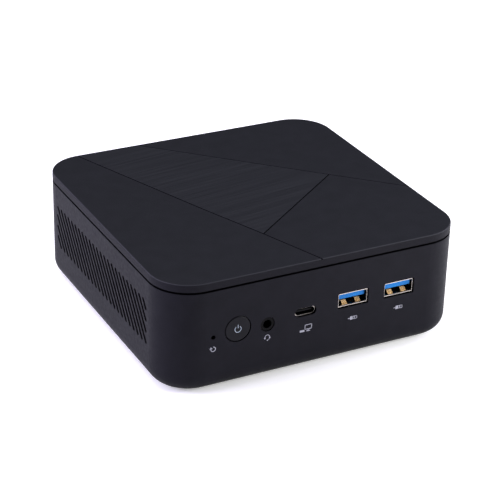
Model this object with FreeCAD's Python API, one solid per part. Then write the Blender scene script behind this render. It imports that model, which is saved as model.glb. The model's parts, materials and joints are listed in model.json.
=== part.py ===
import FreeCAD, Part
import math
import os

Vector = FreeCAD.Vector
X_AXIS = Vector(1, 0, 0)
Y_AXIS = Vector(0, 1, 0)
Z_AXIS = Vector(0, 0, 1)

# Mini PC. Millimetres. Origin on the floor under the middle of the case,
# +X to the right seen from the front, the front face towards -Y, +Z up.

# ---- driving dimensions ----
WIDTH = 130.0
DEPTH = 127.4
HEIGHT = 47.4
CORNER_RADIUS = 16.25
WALL = 2.2

FOOT_HEIGHT = 1.2
BELLY_RADIUS = 7.0
SEAM_Z = 7.2
HOUSING_TOP_Z = 43.3
LID_BOTTOM_Z = 44.2
LID_PLATE = 2.2
LID_BAND = 1.2
LID_EDGE = 0.5
LID_TRAVEL_GAP = 0.2
SOCKET_TOP_Z = 42.5

BOARD_TOP_Z = 24.0
BOARD_THICKNESS = 1.6
BOARD_EDGE_GAP = 2.0

FRONT_USB_X = (14.6, 35.3)
USB_WIDTH = 13.1
USB_HEIGHT = 5.7
USB_Z = 26.85
USB_RECESS = 0.75
USB_CLEARANCE = (0.25, 0.4)
USB_C_X = -6.5
USB_C_Z = 25.9
USB_C_WIDTH = 8.94
USB_C_HEIGHT = 3.26
USB_C_RECESS = 0.85
USB_C_CLEARANCE = 0.25
AUDIO_X = -22.9
AUDIO_Z = 24.2
AUDIO_BORE_RADIUS = 1.8
AUDIO_NOSE_RADIUS = 2.85
BUTTON_X = -35.5
BUTTON_Z = 25.2
BUTTON_RADIUS = 5.3
BUTTON_GAP = 0.25
RESET_X = -45.8
RESET_Z = 23.9
RESET_HOLE_RADIUS = 0.9

VENT_SLOTS = 27
VENT_PITCH = 3.79
VENT_RISE = 1.27
VENT_WIDTH = 1.6
VENT_LOW_Z = 16.6
VENT_HIGH_Z = 34.1
VENT_BACK_Y = 45.4
VENT_FRONT_Y = -44.7
VENT_FIRST_Y = 53.72
VENT_MIDDLE_Z = 31.0

SCREW_X = 52.0
SCREW_Y = 50.7
SCREW_SHANK_RADIUS = 1.0
CROSS_WIDTH = 0.7
CROSS_LENGTH = 2.7
CROSS_DEPTH = 1.0
PLATE_HOLE_PITCH = 75.0
PLATE_HOLE_RADIUS = 2.0

FAN_X = 19.0
FAN_Y = 0.0
ROTOR_RADIUS = 24.0
ROTOR_BLADES = 29
CPU_X = -36.0

# ---- derived places ----
HALF_W = WIDTH / 2
HALF_D = DEPTH / 2
FRONT_Y = -HALF_D
FRONT_INNER_Y = FRONT_Y + WALL
REAR_INNER_Y = HALF_D - WALL
BOARD_LOW_Z = BOARD_TOP_Z - BOARD_THICKNESS
LID_UNDERSIDE_Z = HEIGHT - LID_PLATE


# ---- small builders ----
def box(x0, x1, y0, y1, z0, z1):
    """A block between two corners."""
    return Part.makeBox(x1 - x0, y1 - y0, z1 - z0, Vector(x0, y0, z0))


def rod(radius, x, y, z, length, axis=Z_AXIS):
    """A round bar that starts at a point and runs along an axis."""
    return Part.makeCylinder(radius, length, Vector(x, y, z), axis)


def tube(outer, inner, x, y, z, length, axis=Z_AXIS):
    """A round bar with a hole right through it."""
    return rod(outer, x, y, z, length, axis).cut(rod(inner, x, y, z, length, axis))


def upright_edges(shape, axis):
    """The straight edges of a shape that run along an axis."""
    chosen = []
    for edge in shape.Edges:
        if isinstance(edge.Curve, Part.Line):
            if abs(abs(edge.Curve.Direction.dot(axis)) - 1) < 1e-6:
                chosen.append(edge)
    return chosen


def slab(x0, x1, y0, y1, z0, z1, radius):
    """A block whose upright edges are rounded."""
    block = box(x0, x1, y0, y1, z0, z1)
    return block.makeFillet(radius, upright_edges(block, Z_AXIS))


def port(x, z, width, height, radius, y0, y1):
    """A rounded block centred on a point of the front or rear face."""
    block = box(x - width / 2, x + width / 2, y0, y1, z - height / 2, z + height / 2)
    return block.makeFillet(radius, upright_edges(block, Y_AXIS))


def cross_recess(x, y, z0, z1, length):
    """A cross-shaped driver recess for a screw head, between two heights."""
    reach = length / 2
    half = CROSS_WIDTH / 2
    first = box(x - reach, x + reach, y - half, y + half, z0, z1)
    second = box(x - half, x + half, y - reach, y + reach, z0, z1)
    return union([first, second])


def case_prism(inset, z0, z1):
    """The plan of the case, moved inwards by an inset, between two heights."""
    half_w = HALF_W - inset
    half_d = HALF_D - inset
    return slab(-half_w, half_w, -half_d, half_d, z0, z1, CORNER_RADIUS - inset)


def corner_places(x, y):
    """The four places that mirror one corner place."""
    return [(-x, -y), (x, -y), (-x, y), (x, y)]


def union(shapes):
    """One solid out of several that touch."""
    joined = shapes[0].fuse(shapes[1:])
    return joined.removeSplitter()


def save(node, *shapes):
    """Write one node, which may hold several separate solids."""
    shape = shapes[0] if len(shapes) == 1 else Part.makeCompound(list(shapes))
    shape.exportStep("parts/" + node + ".step")
    solids = shape.Solids
    valid = all(solid.isValid() for solid in solids)
    low = shape.BoundBox
    print(node, len(solids), "solids", "valid" if valid else "NOT VALID",
          round(low.ZMin, 2), round(low.ZMax, 2))


# ---- outer case ----
LINE_WIDTH = 0.55
FINE_LINE_WIDTH = 0.4
LINE_DEPTH = 0.6
LONG_LINE = [(-48.6, 62.6), (-23.3, -4.4), (-10.8, -35.6), (0.0, -64.5)]
CROSS_LINE = [(-20.4, 62.6), (40.0, 2.8), (66.0, -22.4)]
SHORT_LINE = [(40.0, 2.8), (-10.8, -35.6)]


def engraved_line(points, width):
    """A square channel that follows a chain of points on the top."""
    pieces = []
    for start, end in zip(points[:-1], points[1:]):
        length = math.hypot(end[0] - start[0], end[1] - start[1])
        angle = math.degrees(math.atan2(end[1] - start[1], end[0] - start[0]))
        channel = box(0, length, -width / 2, width / 2, -LINE_DEPTH, LINE_DEPTH)
        channel.rotate(Vector(0, 0, 0), Z_AXIS, angle)
        channel.translate(Vector(start[0], start[1], HEIGHT))
        pieces.append(channel)
    for point in points[1:-1]:
        pieces.append(rod(width / 2, point[0], point[1], HEIGHT - LINE_DEPTH, 2 * LINE_DEPTH))
    return pieces


PEG_X = 55.1
PEG_Y = 53.8
PEG_RADIUS = 1.5
COLLAR_RADIUS = 2.9
PEG_TIP_Z = 36.5
RIB_PLACES = (-30.0, 0.0, 30.0)
RIB_HALF_LENGTH = 58.0
RIB_THICKNESS = 1.2
RIB_DEPTH = 1.4


def top_cover():
    """Lid plate with a shallow band, four collars and straight pegs under it."""
    plate = case_prism(0, LID_BOTTOM_Z, HEIGHT)
    rim = []
    for edge in plate.Edges:
        if abs(edge.BoundBox.ZMin - HEIGHT) < 1e-6:
            rim.append(edge)
    plate = plate.makeFillet(LID_EDGE, rim)
    plate = plate.cut(case_prism(LID_BAND, LID_BOTTOM_Z - 1, LID_UNDERSIDE_Z))
    pieces = [plate]
    for x, y in corner_places(PEG_X, PEG_Y):
        pieces.append(rod(COLLAR_RADIUS, x, y, SOCKET_TOP_Z, LID_UNDERSIDE_Z - SOCKET_TOP_Z))
        pieces.append(rod(PEG_RADIUS, x, y, PEG_TIP_Z, LID_UNDERSIDE_Z - PEG_TIP_Z))
    for y in RIB_PLACES:
        pieces.append(box(-RIB_HALF_LENGTH, RIB_HALF_LENGTH, y - RIB_THICKNESS / 2,
                          y + RIB_THICKNESS / 2, LID_UNDERSIDE_Z - RIB_DEPTH, LID_UNDERSIDE_Z))
    lid = union(pieces)
    lines = ((LONG_LINE, LINE_WIDTH), (CROSS_LINE, FINE_LINE_WIDTH), (SHORT_LINE, LINE_WIDTH))
    for points, width in lines:
        for channel in engraved_line(points, width):
            lid = lid.cut(channel)
    return lid


def vent_slots(side):
    """Slanted slots through one side wall, cut off by an upright rectangle."""
    slope_length = math.hypot(1, VENT_RISE)
    across = Vector(0, VENT_RISE / slope_length, -1 / slope_length) * (VENT_WIDTH / 2)
    along = Vector(0, 1 / slope_length, VENT_RISE / slope_length)
    slots = []
    for index in range(VENT_SLOTS):
        middle_y = VENT_FIRST_Y - VENT_PITCH * index
        low_y = middle_y + (VENT_LOW_Z - VENT_MIDDLE_Z) / VENT_RISE
        high_y = middle_y + (VENT_HIGH_Z - VENT_MIDDLE_Z) / VENT_RISE
        low_y = max(low_y, VENT_FRONT_Y)
        high_y = min(high_y, VENT_BACK_Y)
        low = Vector(0, low_y, VENT_MIDDLE_Z + (low_y - middle_y) * VENT_RISE)
        high = Vector(0, high_y, VENT_MIDDLE_Z + (high_y - middle_y) * VENT_RISE)
        half = VENT_WIDTH / 2
        edges = [
            Part.LineSegment(low + across, high + across).toShape(),
            Part.Arc(high + across, high + along * half, high - across).toShape(),
            Part.LineSegment(high - across, low - across).toShape(),
            Part.Arc(low - across, low - along * half, low + across).toShape(),
        ]
        face = Part.Face(Part.Wire(edges))
        slot = face.extrude(Vector(WALL + 2, 0, 0))
        start_x = HALF_W - WALL - 1 if side > 0 else -HALF_W - 1
        slot.translate(Vector(start_x, 0, 0))
        slots.append(slot)
    return slots


REAR_WINDOW = (-47.4, 48.2, 23.6, 41.2)
LOCK_X = 38.0
LOCK_Z = 15.0
LOCK_SLOT = (7.2, 3.2)
BOSS_RADIUS = 3.6
BOSS_MEET_Z = SEAM_Z + 1.8
LIP_TOP_GAP = 0.3
PEG_GAP = 0.2
SOCKET_FLOOR = 1.5
COVER_THREAD = (1.1, 7.0)
BOARD_THREAD = (1.0, 5.0)


def corner_web(x, y, radius, z0, z1, thickness):
    """A rib from a post near a corner out to the rounded wall."""
    centre_x = math.copysign(HALF_W - CORNER_RADIUS, x)
    centre_y = math.copysign(HALF_D - CORNER_RADIUS, y)
    angle = math.degrees(math.atan2(y - centre_y, x - centre_x))
    reach = CORNER_RADIUS - WALL / 2
    start = math.hypot(x - centre_x, y - centre_y) + radius / 2
    web = box(start, reach, -thickness / 2, thickness / 2, z0, z1)
    web.rotate(Vector(0, 0, 0), Z_AXIS, angle)
    web.translate(Vector(centre_x, centre_y, 0))
    return web


def main_housing():
    """Side walls with a thin inner lip, corner bosses and every opening."""
    walls = case_prism(0, SEAM_Z, HOUSING_TOP_Z)
    lip = case_prism(LID_BAND + LID_TRAVEL_GAP, HOUSING_TOP_Z - 1, LID_UNDERSIDE_Z - LIP_TOP_GAP)
    shell = union([walls, lip])
    shell = shell.cut(case_prism(WALL, SEAM_Z - 1, HEIGHT))
    additions = [shell]
    for x, y in corner_places(SCREW_X, SCREW_Y):
        additions.append(rod(BOSS_RADIUS, x, y, BOSS_MEET_Z, BOARD_LOW_Z - BOSS_MEET_Z))
        additions.append(corner_web(x, y, BOSS_RADIUS, BOSS_MEET_Z + 1.2, BOARD_LOW_Z, 2.0))
    socket_low = PEG_TIP_Z - SOCKET_FLOOR
    for x, y in corner_places(PEG_X, PEG_Y):
        additions.append(rod(COLLAR_RADIUS, x, y, socket_low, SOCKET_TOP_Z - socket_low))
        additions.append(corner_web(x, y, COLLAR_RADIUS, socket_low, SOCKET_TOP_Z, 1.6))
    housing = union(additions)
    y0 = FRONT_Y - 1
    y1 = FRONT_INNER_Y + 1
    openings = vent_slots(1) + vent_slots(-1)
    for x in FRONT_USB_X:
        openings.append(port(x, USB_Z, USB_WIDTH + 2 * USB_CLEARANCE[0],
                             USB_HEIGHT + 2 * USB_CLEARANCE[1], 0.5, y0, y1))
    openings.append(port(USB_C_X, USB_C_Z, USB_C_WIDTH + 2 * USB_C_CLEARANCE,
                         USB_C_HEIGHT + 2 * USB_C_CLEARANCE, 1.85, y0, y1))
    openings.append(rod(AUDIO_NOSE_RADIUS + 0.2, AUDIO_X, y0, AUDIO_Z, WALL + 2, Y_AXIS))
    openings.append(rod(BUTTON_RADIUS + BUTTON_GAP, BUTTON_X, y0, BUTTON_Z, WALL + 2, Y_AXIS))
    openings.append(rod(RESET_HOLE_RADIUS, RESET_X, y0, RESET_Z, WALL + 2, Y_AXIS))
    x0, x1, z0, z1 = REAR_WINDOW
    window = port((x0 + x1) / 2, (z0 + z1) / 2, x1 - x0, z1 - z0, 1.2,
                  REAR_INNER_Y - 1, HALF_D + 1)
    openings.append(window)
    openings.append(port(LOCK_X, LOCK_Z, LOCK_SLOT[0], LOCK_SLOT[1], 0.6,
                         REAR_INNER_Y - 1, HALF_D + 1))
    for x, y in corner_places(SCREW_X, SCREW_Y):
        openings.append(rod(COVER_THREAD[0], x, y, SEAM_Z, COVER_THREAD[1]))
        openings.append(rod(BOARD_THREAD[0], x, y, BOARD_LOW_Z - BOARD_THREAD[1],
                            BOARD_THREAD[1] + 0.5))
    for x, y in corner_places(PEG_X, PEG_Y):
        openings.append(rod(PEG_RADIUS + PEG_GAP, x, y, socket_low - 0.5, 10.0))
    return housing.cut(openings)


FLOOR_THICKNESS = 2.0
FOOT_RADIUS = 6.6
FOOT_HOLE_RADIUS = 3.2
FOOT_SINK = 0.8
SCREW_HEAD_RADIUS = 2.5
SCREW_HEAD_HEIGHT = 1.8
SCREW_HEAD_GAP = 0.3
SCREW_SEAT_Z = FOOT_HEIGHT + FLOOR_THICKNESS + 0.6
COVER_SHANK_LENGTH = 9.0
COVER_HOLE_RADIUS = 1.4
FOOT_GAP = 0.1
FOOT_EDGE = 0.5
RIM_GAP = 0.1
RIM_WALL = 1.2
RIM_LOW_Z = SEAM_Z - 2.6
RIM_HIGH_Z = SEAM_Z + 1.6
INTAKE_SLOTS = 13
INTAKE_PITCH = 4.4
INTAKE_ROWS = (-28.0, 0.0, 28.0)
INTAKE_HALF_LENGTH = 10.0
INTAKE_HALF_WIDTH = 0.8


def belly(inset, z_base, z_cut, z_top):
    """The rounded underside: a prism whose lower edge is a wide arc, cut flat."""
    prism = case_prism(inset, z_base, z_top + BELLY_RADIUS)
    lower = []
    for edge in prism.Edges:
        if abs(edge.BoundBox.ZMax - z_base) < 1e-6:
            lower.append(edge)
    radius = BELLY_RADIUS - inset
    rounded = prism.makeFillet(radius, lower)
    return rounded.common(box(-HALF_W, HALF_W, -HALF_D, HALF_D, z_cut, z_top))


def bottom_cover():
    """A shallow tray with a locating rim, vents, screw wells and mounting holes."""
    base_z = SEAM_Z - BELLY_RADIUS
    outer = belly(0, base_z, FOOT_HEIGHT, SEAM_Z)
    floor_z = FOOT_HEIGHT + FLOOR_THICKNESS
    inner = belly(WALL, base_z + WALL, floor_z, SEAM_Z + 0.001)
    tray = outer.cut(inner)
    rim = case_prism(WALL + RIM_GAP, RIM_LOW_Z, RIM_HIGH_Z)
    rim = rim.cut(case_prism(WALL + RIM_GAP + RIM_WALL, RIM_LOW_Z - 1, RIM_HIGH_Z + 1))
    base = rim.common(belly(0, base_z, FOOT_HEIGHT, SEAM_Z).fuse(
        case_prism(0, SEAM_Z, SEAM_Z + 2)))
    pieces = [tray, base]
    for x, y in corner_places(SCREW_X, SCREW_Y):
        pieces.append(rod(BOSS_RADIUS, x, y, floor_z - 0.5, BOSS_MEET_Z - floor_z + 0.5))
    cover = union(pieces)
    openings = []
    for x, y in corner_places(SCREW_X, SCREW_Y):
        openings.append(rod(COVER_HOLE_RADIUS, x, y, 0, 12))
        openings.append(rod(SCREW_HEAD_RADIUS + SCREW_HEAD_GAP, x, y, 0, SCREW_SEAT_Z))
        openings.append(rod(FOOT_RADIUS, x, y, 0, FOOT_HEIGHT + FOOT_SINK))
    for x, y in corner_places(PLATE_HOLE_PITCH / 2, PLATE_HOLE_PITCH / 2):
        openings.append(rod(PLATE_HOLE_RADIUS, x, y, 0, 8))
    for index in range(INTAKE_SLOTS):
        x = (index - (INTAKE_SLOTS - 1) / 2) * INTAKE_PITCH
        for y in INTAKE_ROWS:
            openings.append(slab(x - INTAKE_HALF_WIDTH, x + INTAKE_HALF_WIDTH,
                                 y - INTAKE_HALF_LENGTH, y + INTAKE_HALF_LENGTH,
                                 0, floor_z + 1, INTAKE_HALF_WIDTH - 0.01))
    return cover.cut(openings)


def bottom_cover_screws():
    """Four pan-head screws from below, through the cover into the corner bosses."""
    screws = []
    head_z = SCREW_SEAT_Z - SCREW_HEAD_HEIGHT
    for x, y in corner_places(SCREW_X, SCREW_Y):
        head = rod(SCREW_HEAD_RADIUS, x, y, head_z, SCREW_HEAD_HEIGHT)
        shank = rod(SCREW_SHANK_RADIUS, x, y, SCREW_SEAT_Z, COVER_SHANK_LENGTH)
        recess = cross_recess(x, y, head_z, head_z + CROSS_DEPTH, CROSS_LENGTH)
        screws.append(union([head, shank]).cut(recess))
    return screws


def rubber_feet():
    """Four rings around the screws, with a rounded lower edge, in shallow wells."""
    feet = []
    for x, y in corner_places(SCREW_X, SCREW_Y):
        foot = rod(FOOT_RADIUS - FOOT_GAP, x, y, 0, FOOT_HEIGHT + FOOT_SINK)
        lower = [edge for edge in foot.Edges if edge.BoundBox.ZMax < 1e-6]
        foot = foot.makeFillet(FOOT_EDGE, lower)
        feet.append(foot.cut(rod(FOOT_HOLE_RADIUS, x, y, 0, FOOT_HEIGHT + FOOT_SINK)))
    return feet


# ---- front controls and ports ----
BUTTON_STEM_Y = -57.6
BUTTON_FLANGE = (1.1, 0.8)
BUTTON_EDGE = 0.5
GUIDE_RADIUS = 1.1
GUIDE_SINK = 0.8
SWITCH_FRONT_Y = -56.4
SWITCH_DEPTH = 4.2
SWITCH_HEIGHT = 3.6
PLUNGER_HALF_WIDTH = 1.7
PLUNGER_LOW_Z = BUTTON_Z - 0.7
PLUNGER_HIGH_Z = BUTTON_Z + 0.9
PLUNGER_SIDE_GAP = 0.05


def power_button():
    """A round cap flush with the front, a retaining flange and a square stem."""
    cap = rod(BUTTON_RADIUS, BUTTON_X, FRONT_Y, BUTTON_Z, WALL + 0.2, Y_AXIS)
    front = [edge for edge in cap.Edges if edge.BoundBox.YMax < FRONT_Y + 1e-6]
    cap = cap.makeFillet(BUTTON_EDGE, front)
    flange_y = FRONT_INNER_Y + 0.1
    flange = rod(BUTTON_RADIUS + BUTTON_FLANGE[0], BUTTON_X, flange_y, BUTTON_Z,
                 BUTTON_FLANGE[1], Y_AXIS)
    stem = box(BUTTON_X - 2.4, BUTTON_X + 2.4, flange_y + BUTTON_FLANGE[1], BUTTON_STEM_Y,
               BUTTON_Z - 1.1, BUTTON_Z + 2.2)
    button = union([cap, flange, stem])
    return button.cut(rod(GUIDE_RADIUS, BUTTON_X, FRONT_Y + GUIDE_SINK, BUTTON_Z, 12, Y_AXIS))


def power_light_guide():
    """A clear rod up the middle of the button that lights its symbol."""
    front_y = FRONT_Y + GUIDE_SINK
    return rod(GUIDE_RADIUS, BUTTON_X, front_y, BUTTON_Z, BUTTON_STEM_Y - front_y, Y_AXIS)


def power_switch_body():
    """A right-angle tactile switch on the board, hollow for its plunger."""
    body = box(BUTTON_X - 3.1, BUTTON_X + 3.1, SWITCH_FRONT_Y, SWITCH_FRONT_Y + SWITCH_DEPTH,
               BOARD_TOP_Z, BOARD_TOP_Z + SWITCH_HEIGHT)
    half = PLUNGER_HALF_WIDTH + PLUNGER_SIDE_GAP
    well = box(BUTTON_X - half, BUTTON_X + half, SWITCH_FRONT_Y - 1, SWITCH_FRONT_Y + 2.6,
               PLUNGER_LOW_Z - PLUNGER_SIDE_GAP, PLUNGER_HIGH_Z + PLUNGER_SIDE_GAP)
    return body.cut(well)


def power_switch_plunger():
    """The switch's own plunger, which meets the button's stem."""
    return box(BUTTON_X - PLUNGER_HALF_WIDTH, BUTTON_X + PLUNGER_HALF_WIDTH,
               BUTTON_STEM_Y, SWITCH_FRONT_Y + 1.6, PLUNGER_LOW_Z, PLUNGER_HIGH_Z)


RESET_HALF_WIDTH = 2.2
RESET_FRONT_Y = -58.6
RESET_BACK_Y = -55.4
RESET_PIN_RADIUS = 0.8
RESET_PIN_FRONT_Y = -59.6
RESET_PIN_LENGTH = 2.4


def reset_switch_body():
    """A small tactile switch in a notch of the board, behind the pinhole."""
    body = box(RESET_X - RESET_HALF_WIDTH, RESET_X + RESET_HALF_WIDTH,
               RESET_FRONT_Y, RESET_BACK_Y, RESET_Z - 1.7, RESET_Z + 1.7)
    return body.cut(rod(RESET_PIN_RADIUS + 0.05, RESET_X, RESET_FRONT_Y - 0.4, RESET_Z,
                        2.2, Y_AXIS))


def reset_switch_plunger():
    """The pin-operated plunger of the reset switch."""
    return rod(RESET_PIN_RADIUS, RESET_X, RESET_PIN_FRONT_Y, RESET_Z, RESET_PIN_LENGTH, Y_AXIS)


AUDIO_BODY_HALF_X = 3.0
AUDIO_BODY_HALF_Z = 2.6
AUDIO_BODY_Y0 = FRONT_Y + 3.4
AUDIO_BODY_Y1 = FRONT_Y + 15.4
AUDIO_NOSE_Y = FRONT_Y + 0.3


def audio_jack():
    """A round nose in the front wall on a square body with a blind bore."""
    nose = rod(AUDIO_NOSE_RADIUS, AUDIO_X, AUDIO_NOSE_Y, AUDIO_Z, 3.2, Y_AXIS)
    body = box(AUDIO_X - AUDIO_BODY_HALF_X, AUDIO_X + AUDIO_BODY_HALF_X, AUDIO_BODY_Y0,
               AUDIO_BODY_Y1, AUDIO_Z - AUDIO_BODY_HALF_Z, AUDIO_Z + AUDIO_BODY_HALF_Z)
    jack = union([nose, body])
    bore = rod(AUDIO_BORE_RADIUS, AUDIO_X, FRONT_Y - 1, AUDIO_Z, 15.4, Y_AXIS)
    return jack.cut(bore)


USB_SHELL = 0.3
USB_DEPTH = 14.0
TONGUE_HALF_X = 5.6
TONGUE_LOW = 0.1
TONGUE_HIGH = 2.0
FINGER_WIDTH = 2.2
FINGER_OFFSETS = (-3.0, 3.0)


def usb_shell(x, z, y_mouth):
    """A folded steel USB-A shell, open at its mouth."""
    shell = port(x, z, USB_WIDTH, USB_HEIGHT, 0.45, y_mouth, y_mouth + USB_DEPTH)
    inner = port(x, z, USB_WIDTH - 2 * USB_SHELL, USB_HEIGHT - 2 * USB_SHELL, 0.2,
                 y_mouth - 1, y_mouth + USB_DEPTH - USB_SHELL)
    return shell.cut(inner)


def usb_tongue(x, z, y_mouth):
    """The insulating tongue in the upper half of a USB-A shell, with its rear block."""
    back_y = y_mouth + USB_DEPTH - 3.0
    tongue = box(x - TONGUE_HALF_X, x + TONGUE_HALF_X, y_mouth + 0.9, back_y,
                 z + TONGUE_LOW, z + TONGUE_HIGH)
    block = box(x - 6.1, x + 6.1, back_y, y_mouth + USB_DEPTH - USB_SHELL, z - 2.4, z + 2.4)
    return union([tongue, block])


def usb_fingers(x, z, y_mouth):
    """Two bent leaf fingers on the floor of a front USB-A shell."""
    fingers = []
    floor_z = z - USB_HEIGHT / 2 + USB_SHELL
    for offset in FINGER_OFFSETS:
        points = [
            Vector(0, y_mouth + 0.7, floor_z),
            Vector(0, y_mouth + 2.2, floor_z + 1.3),
            Vector(0, y_mouth + 4.2, floor_z + 1.3),
            Vector(0, y_mouth + 8.4, floor_z + 0.25),
            Vector(0, y_mouth + 8.4, floor_z),
            Vector(0, y_mouth + 4.1, floor_z + 1.0),
            Vector(0, y_mouth + 2.4, floor_z + 1.0),
            Vector(0, y_mouth + 1.3, floor_z),
            Vector(0, y_mouth + 0.7, floor_z),
        ]
        leaf = Part.Face(Part.makePolygon(points)).extrude(Vector(FINGER_WIDTH, 0, 0))
        leaf.translate(Vector(x + offset - FINGER_WIDTH / 2, 0, 0))
        fingers.append(leaf)
    return fingers


USB_MOUTH_Y = FRONT_Y + USB_RECESS
USB_C_MOUTH_Y = FRONT_Y + USB_C_RECESS


def usb_c_shell():
    """A drawn steel oval shell, closed at the back by its moulding."""
    y0 = USB_C_MOUTH_Y
    shell = port(USB_C_X, USB_C_Z, USB_C_WIDTH, USB_C_HEIGHT, 1.6, y0, y0 + 8.5)
    inner = port(USB_C_X, USB_C_Z, USB_C_WIDTH - 0.6, USB_C_HEIGHT - 0.6, 1.3, y0 - 1, y0 + 8.0)
    return shell.cut(inner)


def usb_c_moulding():
    """The thin mid-plane tongue with its rear block, and the seat under the shell."""
    y0 = USB_C_MOUTH_Y
    tongue = box(USB_C_X - 3.35, USB_C_X + 3.35, y0 + 0.8, y0 + 6.4,
                 USB_C_Z - 0.35, USB_C_Z + 0.35)
    block = port(USB_C_X, USB_C_Z, USB_C_WIDTH - 0.8, USB_C_HEIGHT - 0.8, 1.15,
                 y0 + 6.2, y0 + 8.0)
    seat = box(USB_C_X - 3.0, USB_C_X + 3.0, y0 + 4.6, y0 + 8.5,
               BOARD_TOP_Z, USB_C_Z - USB_C_HEIGHT / 2)
    return [union([tongue, block]), seat]


# ---- motherboard ----
BOARD_HALF_X = HALF_W - WALL - BOARD_EDGE_GAP
BOARD_HALF_Y = HALF_D - WALL - BOARD_EDGE_GAP
BOARD_CORNER = CORNER_RADIUS - WALL - BOARD_EDGE_GAP
AUDIO_NOTCH = (AUDIO_X - AUDIO_BODY_HALF_X, AUDIO_X + AUDIO_BODY_HALF_X, AUDIO_BODY_Y1)
RESET_NOTCH = (RESET_X - RESET_HALF_WIDTH, RESET_X + RESET_HALF_WIDTH, RESET_BACK_Y)
BOARD_SCREW_HOLE_RADIUS = 1.3
BOARD_SCREW_HEAD = (2.6, 1.5)
BOARD_SHANK_LENGTH = 5.6
BOARD_CROSS_DEPTH = 0.8
COOLER_HOLE_X = 21.0
COOLER_HOLE_Y = 19.0
COOLER_HOLE_RADIUS = 1.2
FAN_POST_PLACES = ((FAN_X - 21.2, -21.2), (FAN_X + 24.0, -30.0), (FAN_X + 1.0, 30.0))
FAN_POST_RADIUS = 2.2


def motherboard():
    """The circuit board, notched for the mid-mounted jack and reset switch."""
    board = slab(-BOARD_HALF_X, BOARD_HALF_X, -BOARD_HALF_Y, BOARD_HALF_Y,
                 BOARD_LOW_Z, BOARD_TOP_Z, BOARD_CORNER)
    openings = []
    for x0, x1, y_end in (AUDIO_NOTCH, RESET_NOTCH):
        openings.append(box(x0, x1, -BOARD_HALF_Y - 1, y_end, BOARD_LOW_Z - 1, BOARD_TOP_Z + 1))
    for x, y in corner_places(SCREW_X, SCREW_Y):
        openings.append(rod(BOARD_SCREW_HOLE_RADIUS, x, y, BOARD_LOW_Z - 1, 4))
    for x, y in corner_places(COOLER_HOLE_X, COOLER_HOLE_Y):
        openings.append(rod(COOLER_HOLE_RADIUS, CPU_X + x, y, BOARD_LOW_Z - 1, 4))
    return board.cut(openings)


def motherboard_screws():
    """Four screws that hold the board on the corner bosses."""
    screws = []
    for x, y in corner_places(SCREW_X, SCREW_Y):
        head_top = BOARD_TOP_Z + BOARD_SCREW_HEAD[1]
        head = rod(BOARD_SCREW_HEAD[0], x, y, BOARD_TOP_Z, BOARD_SCREW_HEAD[1])
        shank = rod(SCREW_SHANK_RADIUS, x, y, BOARD_TOP_Z - BOARD_SHANK_LENGTH, BOARD_SHANK_LENGTH)
        recess = cross_recess(x, y, head_top - BOARD_CROSS_DEPTH, head_top, CROSS_LENGTH)
        screws.append(union([head, shank]).cut(recess))
    return screws


POWER_PITCH = 7.2
CHOKE_X0 = CPU_X + 29.2
CHOKE_Y0 = -14.0
CHOKE_SIZE = 6.4
CHOKE_HEIGHT = 3.0
CAN_RADIUS = 2.6
CAN_HEIGHT = 5.6
CAN_ROWS = ((-0.5, 36.0, 5), (-56.0, 33.0, 3))


def power_chokes():
    """A row of square power inductors beside the processor."""
    chokes = []
    half = CHOKE_SIZE / 2
    for index in range(5):
        y = CHOKE_Y0 + index * POWER_PITCH
        chokes.append(slab(CHOKE_X0, CHOKE_X0 + CHOKE_SIZE, y - half, y + half,
                           BOARD_TOP_Z, BOARD_TOP_Z + CHOKE_HEIGHT, 0.6))
    return chokes


def board_capacitors():
    """Round polymer capacitors along the power stage and the rear ports."""
    cans = []
    for x, y, count in CAN_ROWS:
        for index in range(count):
            cans.append(rod(CAN_RADIUS, x + POWER_PITCH * index, y, BOARD_TOP_Z, CAN_HEIGHT))
    return cans


def board_chips():
    """Flat packaged chips on the upper side of the board."""
    return [
        slab(18, 30, -44, -32, BOARD_TOP_Z, BOARD_TOP_Z + 1.0, 0.3),
        slab(-2, 6, -44, -36, BOARD_TOP_Z, BOARD_TOP_Z + 0.9, 0.3),
        slab(-14, -6, 36, 42, BOARD_TOP_Z, BOARD_TOP_Z + 1.0, 0.3),
        slab(37, 44, -46, -39, BOARD_TOP_Z, BOARD_TOP_Z + 0.9, 0.3),
    ]


# ---- processor and cooler ----
PACKAGE_TOP_Z = BOARD_TOP_Z + 1.5
PLATE_TOP_Z = PACKAGE_TOP_Z + 2.0
PIPE_HEIGHT = 3.0
PIPE_WIDTH = 8.4
PIPE_Y = 8.0
PIPE_TOP_Z = PLATE_TOP_Z + PIPE_HEIGHT
FIN_X0 = 50.8
FIN_X1 = 61.6
FIN_HALF_Y = 30.0
FIN_TOP_Z = 41.4
FIN_PITCH = 1.8
FIN_THICKNESS = 0.3
PIPE_EDGE = 1.4
SPRING_LENGTH = 5.0
SPRING_RADII = (2.1, 1.4)
COOLER_SHANK_RADIUS = 1.1
COOLER_HEAD = (2.4, 1.4)
COOLER_CROSS_DEPTH = 0.7
NUT_RADIUS = 2.6
NUT_HEIGHT = 1.8


def cpu_package():
    """A green substrate that carries two bare dies."""
    substrate = box(CPU_X - 19, CPU_X + 19, -12.5, 12.5, BOARD_TOP_Z, BOARD_TOP_Z + 0.9)
    big_die = box(CPU_X - 12, CPU_X + 3, -6, 6, BOARD_TOP_Z + 0.9, PACKAGE_TOP_Z)
    small_die = box(CPU_X + 7, CPU_X + 14, -4, 4, BOARD_TOP_Z + 0.9, PACKAGE_TOP_Z)
    return union([substrate, big_die, small_die])


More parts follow.
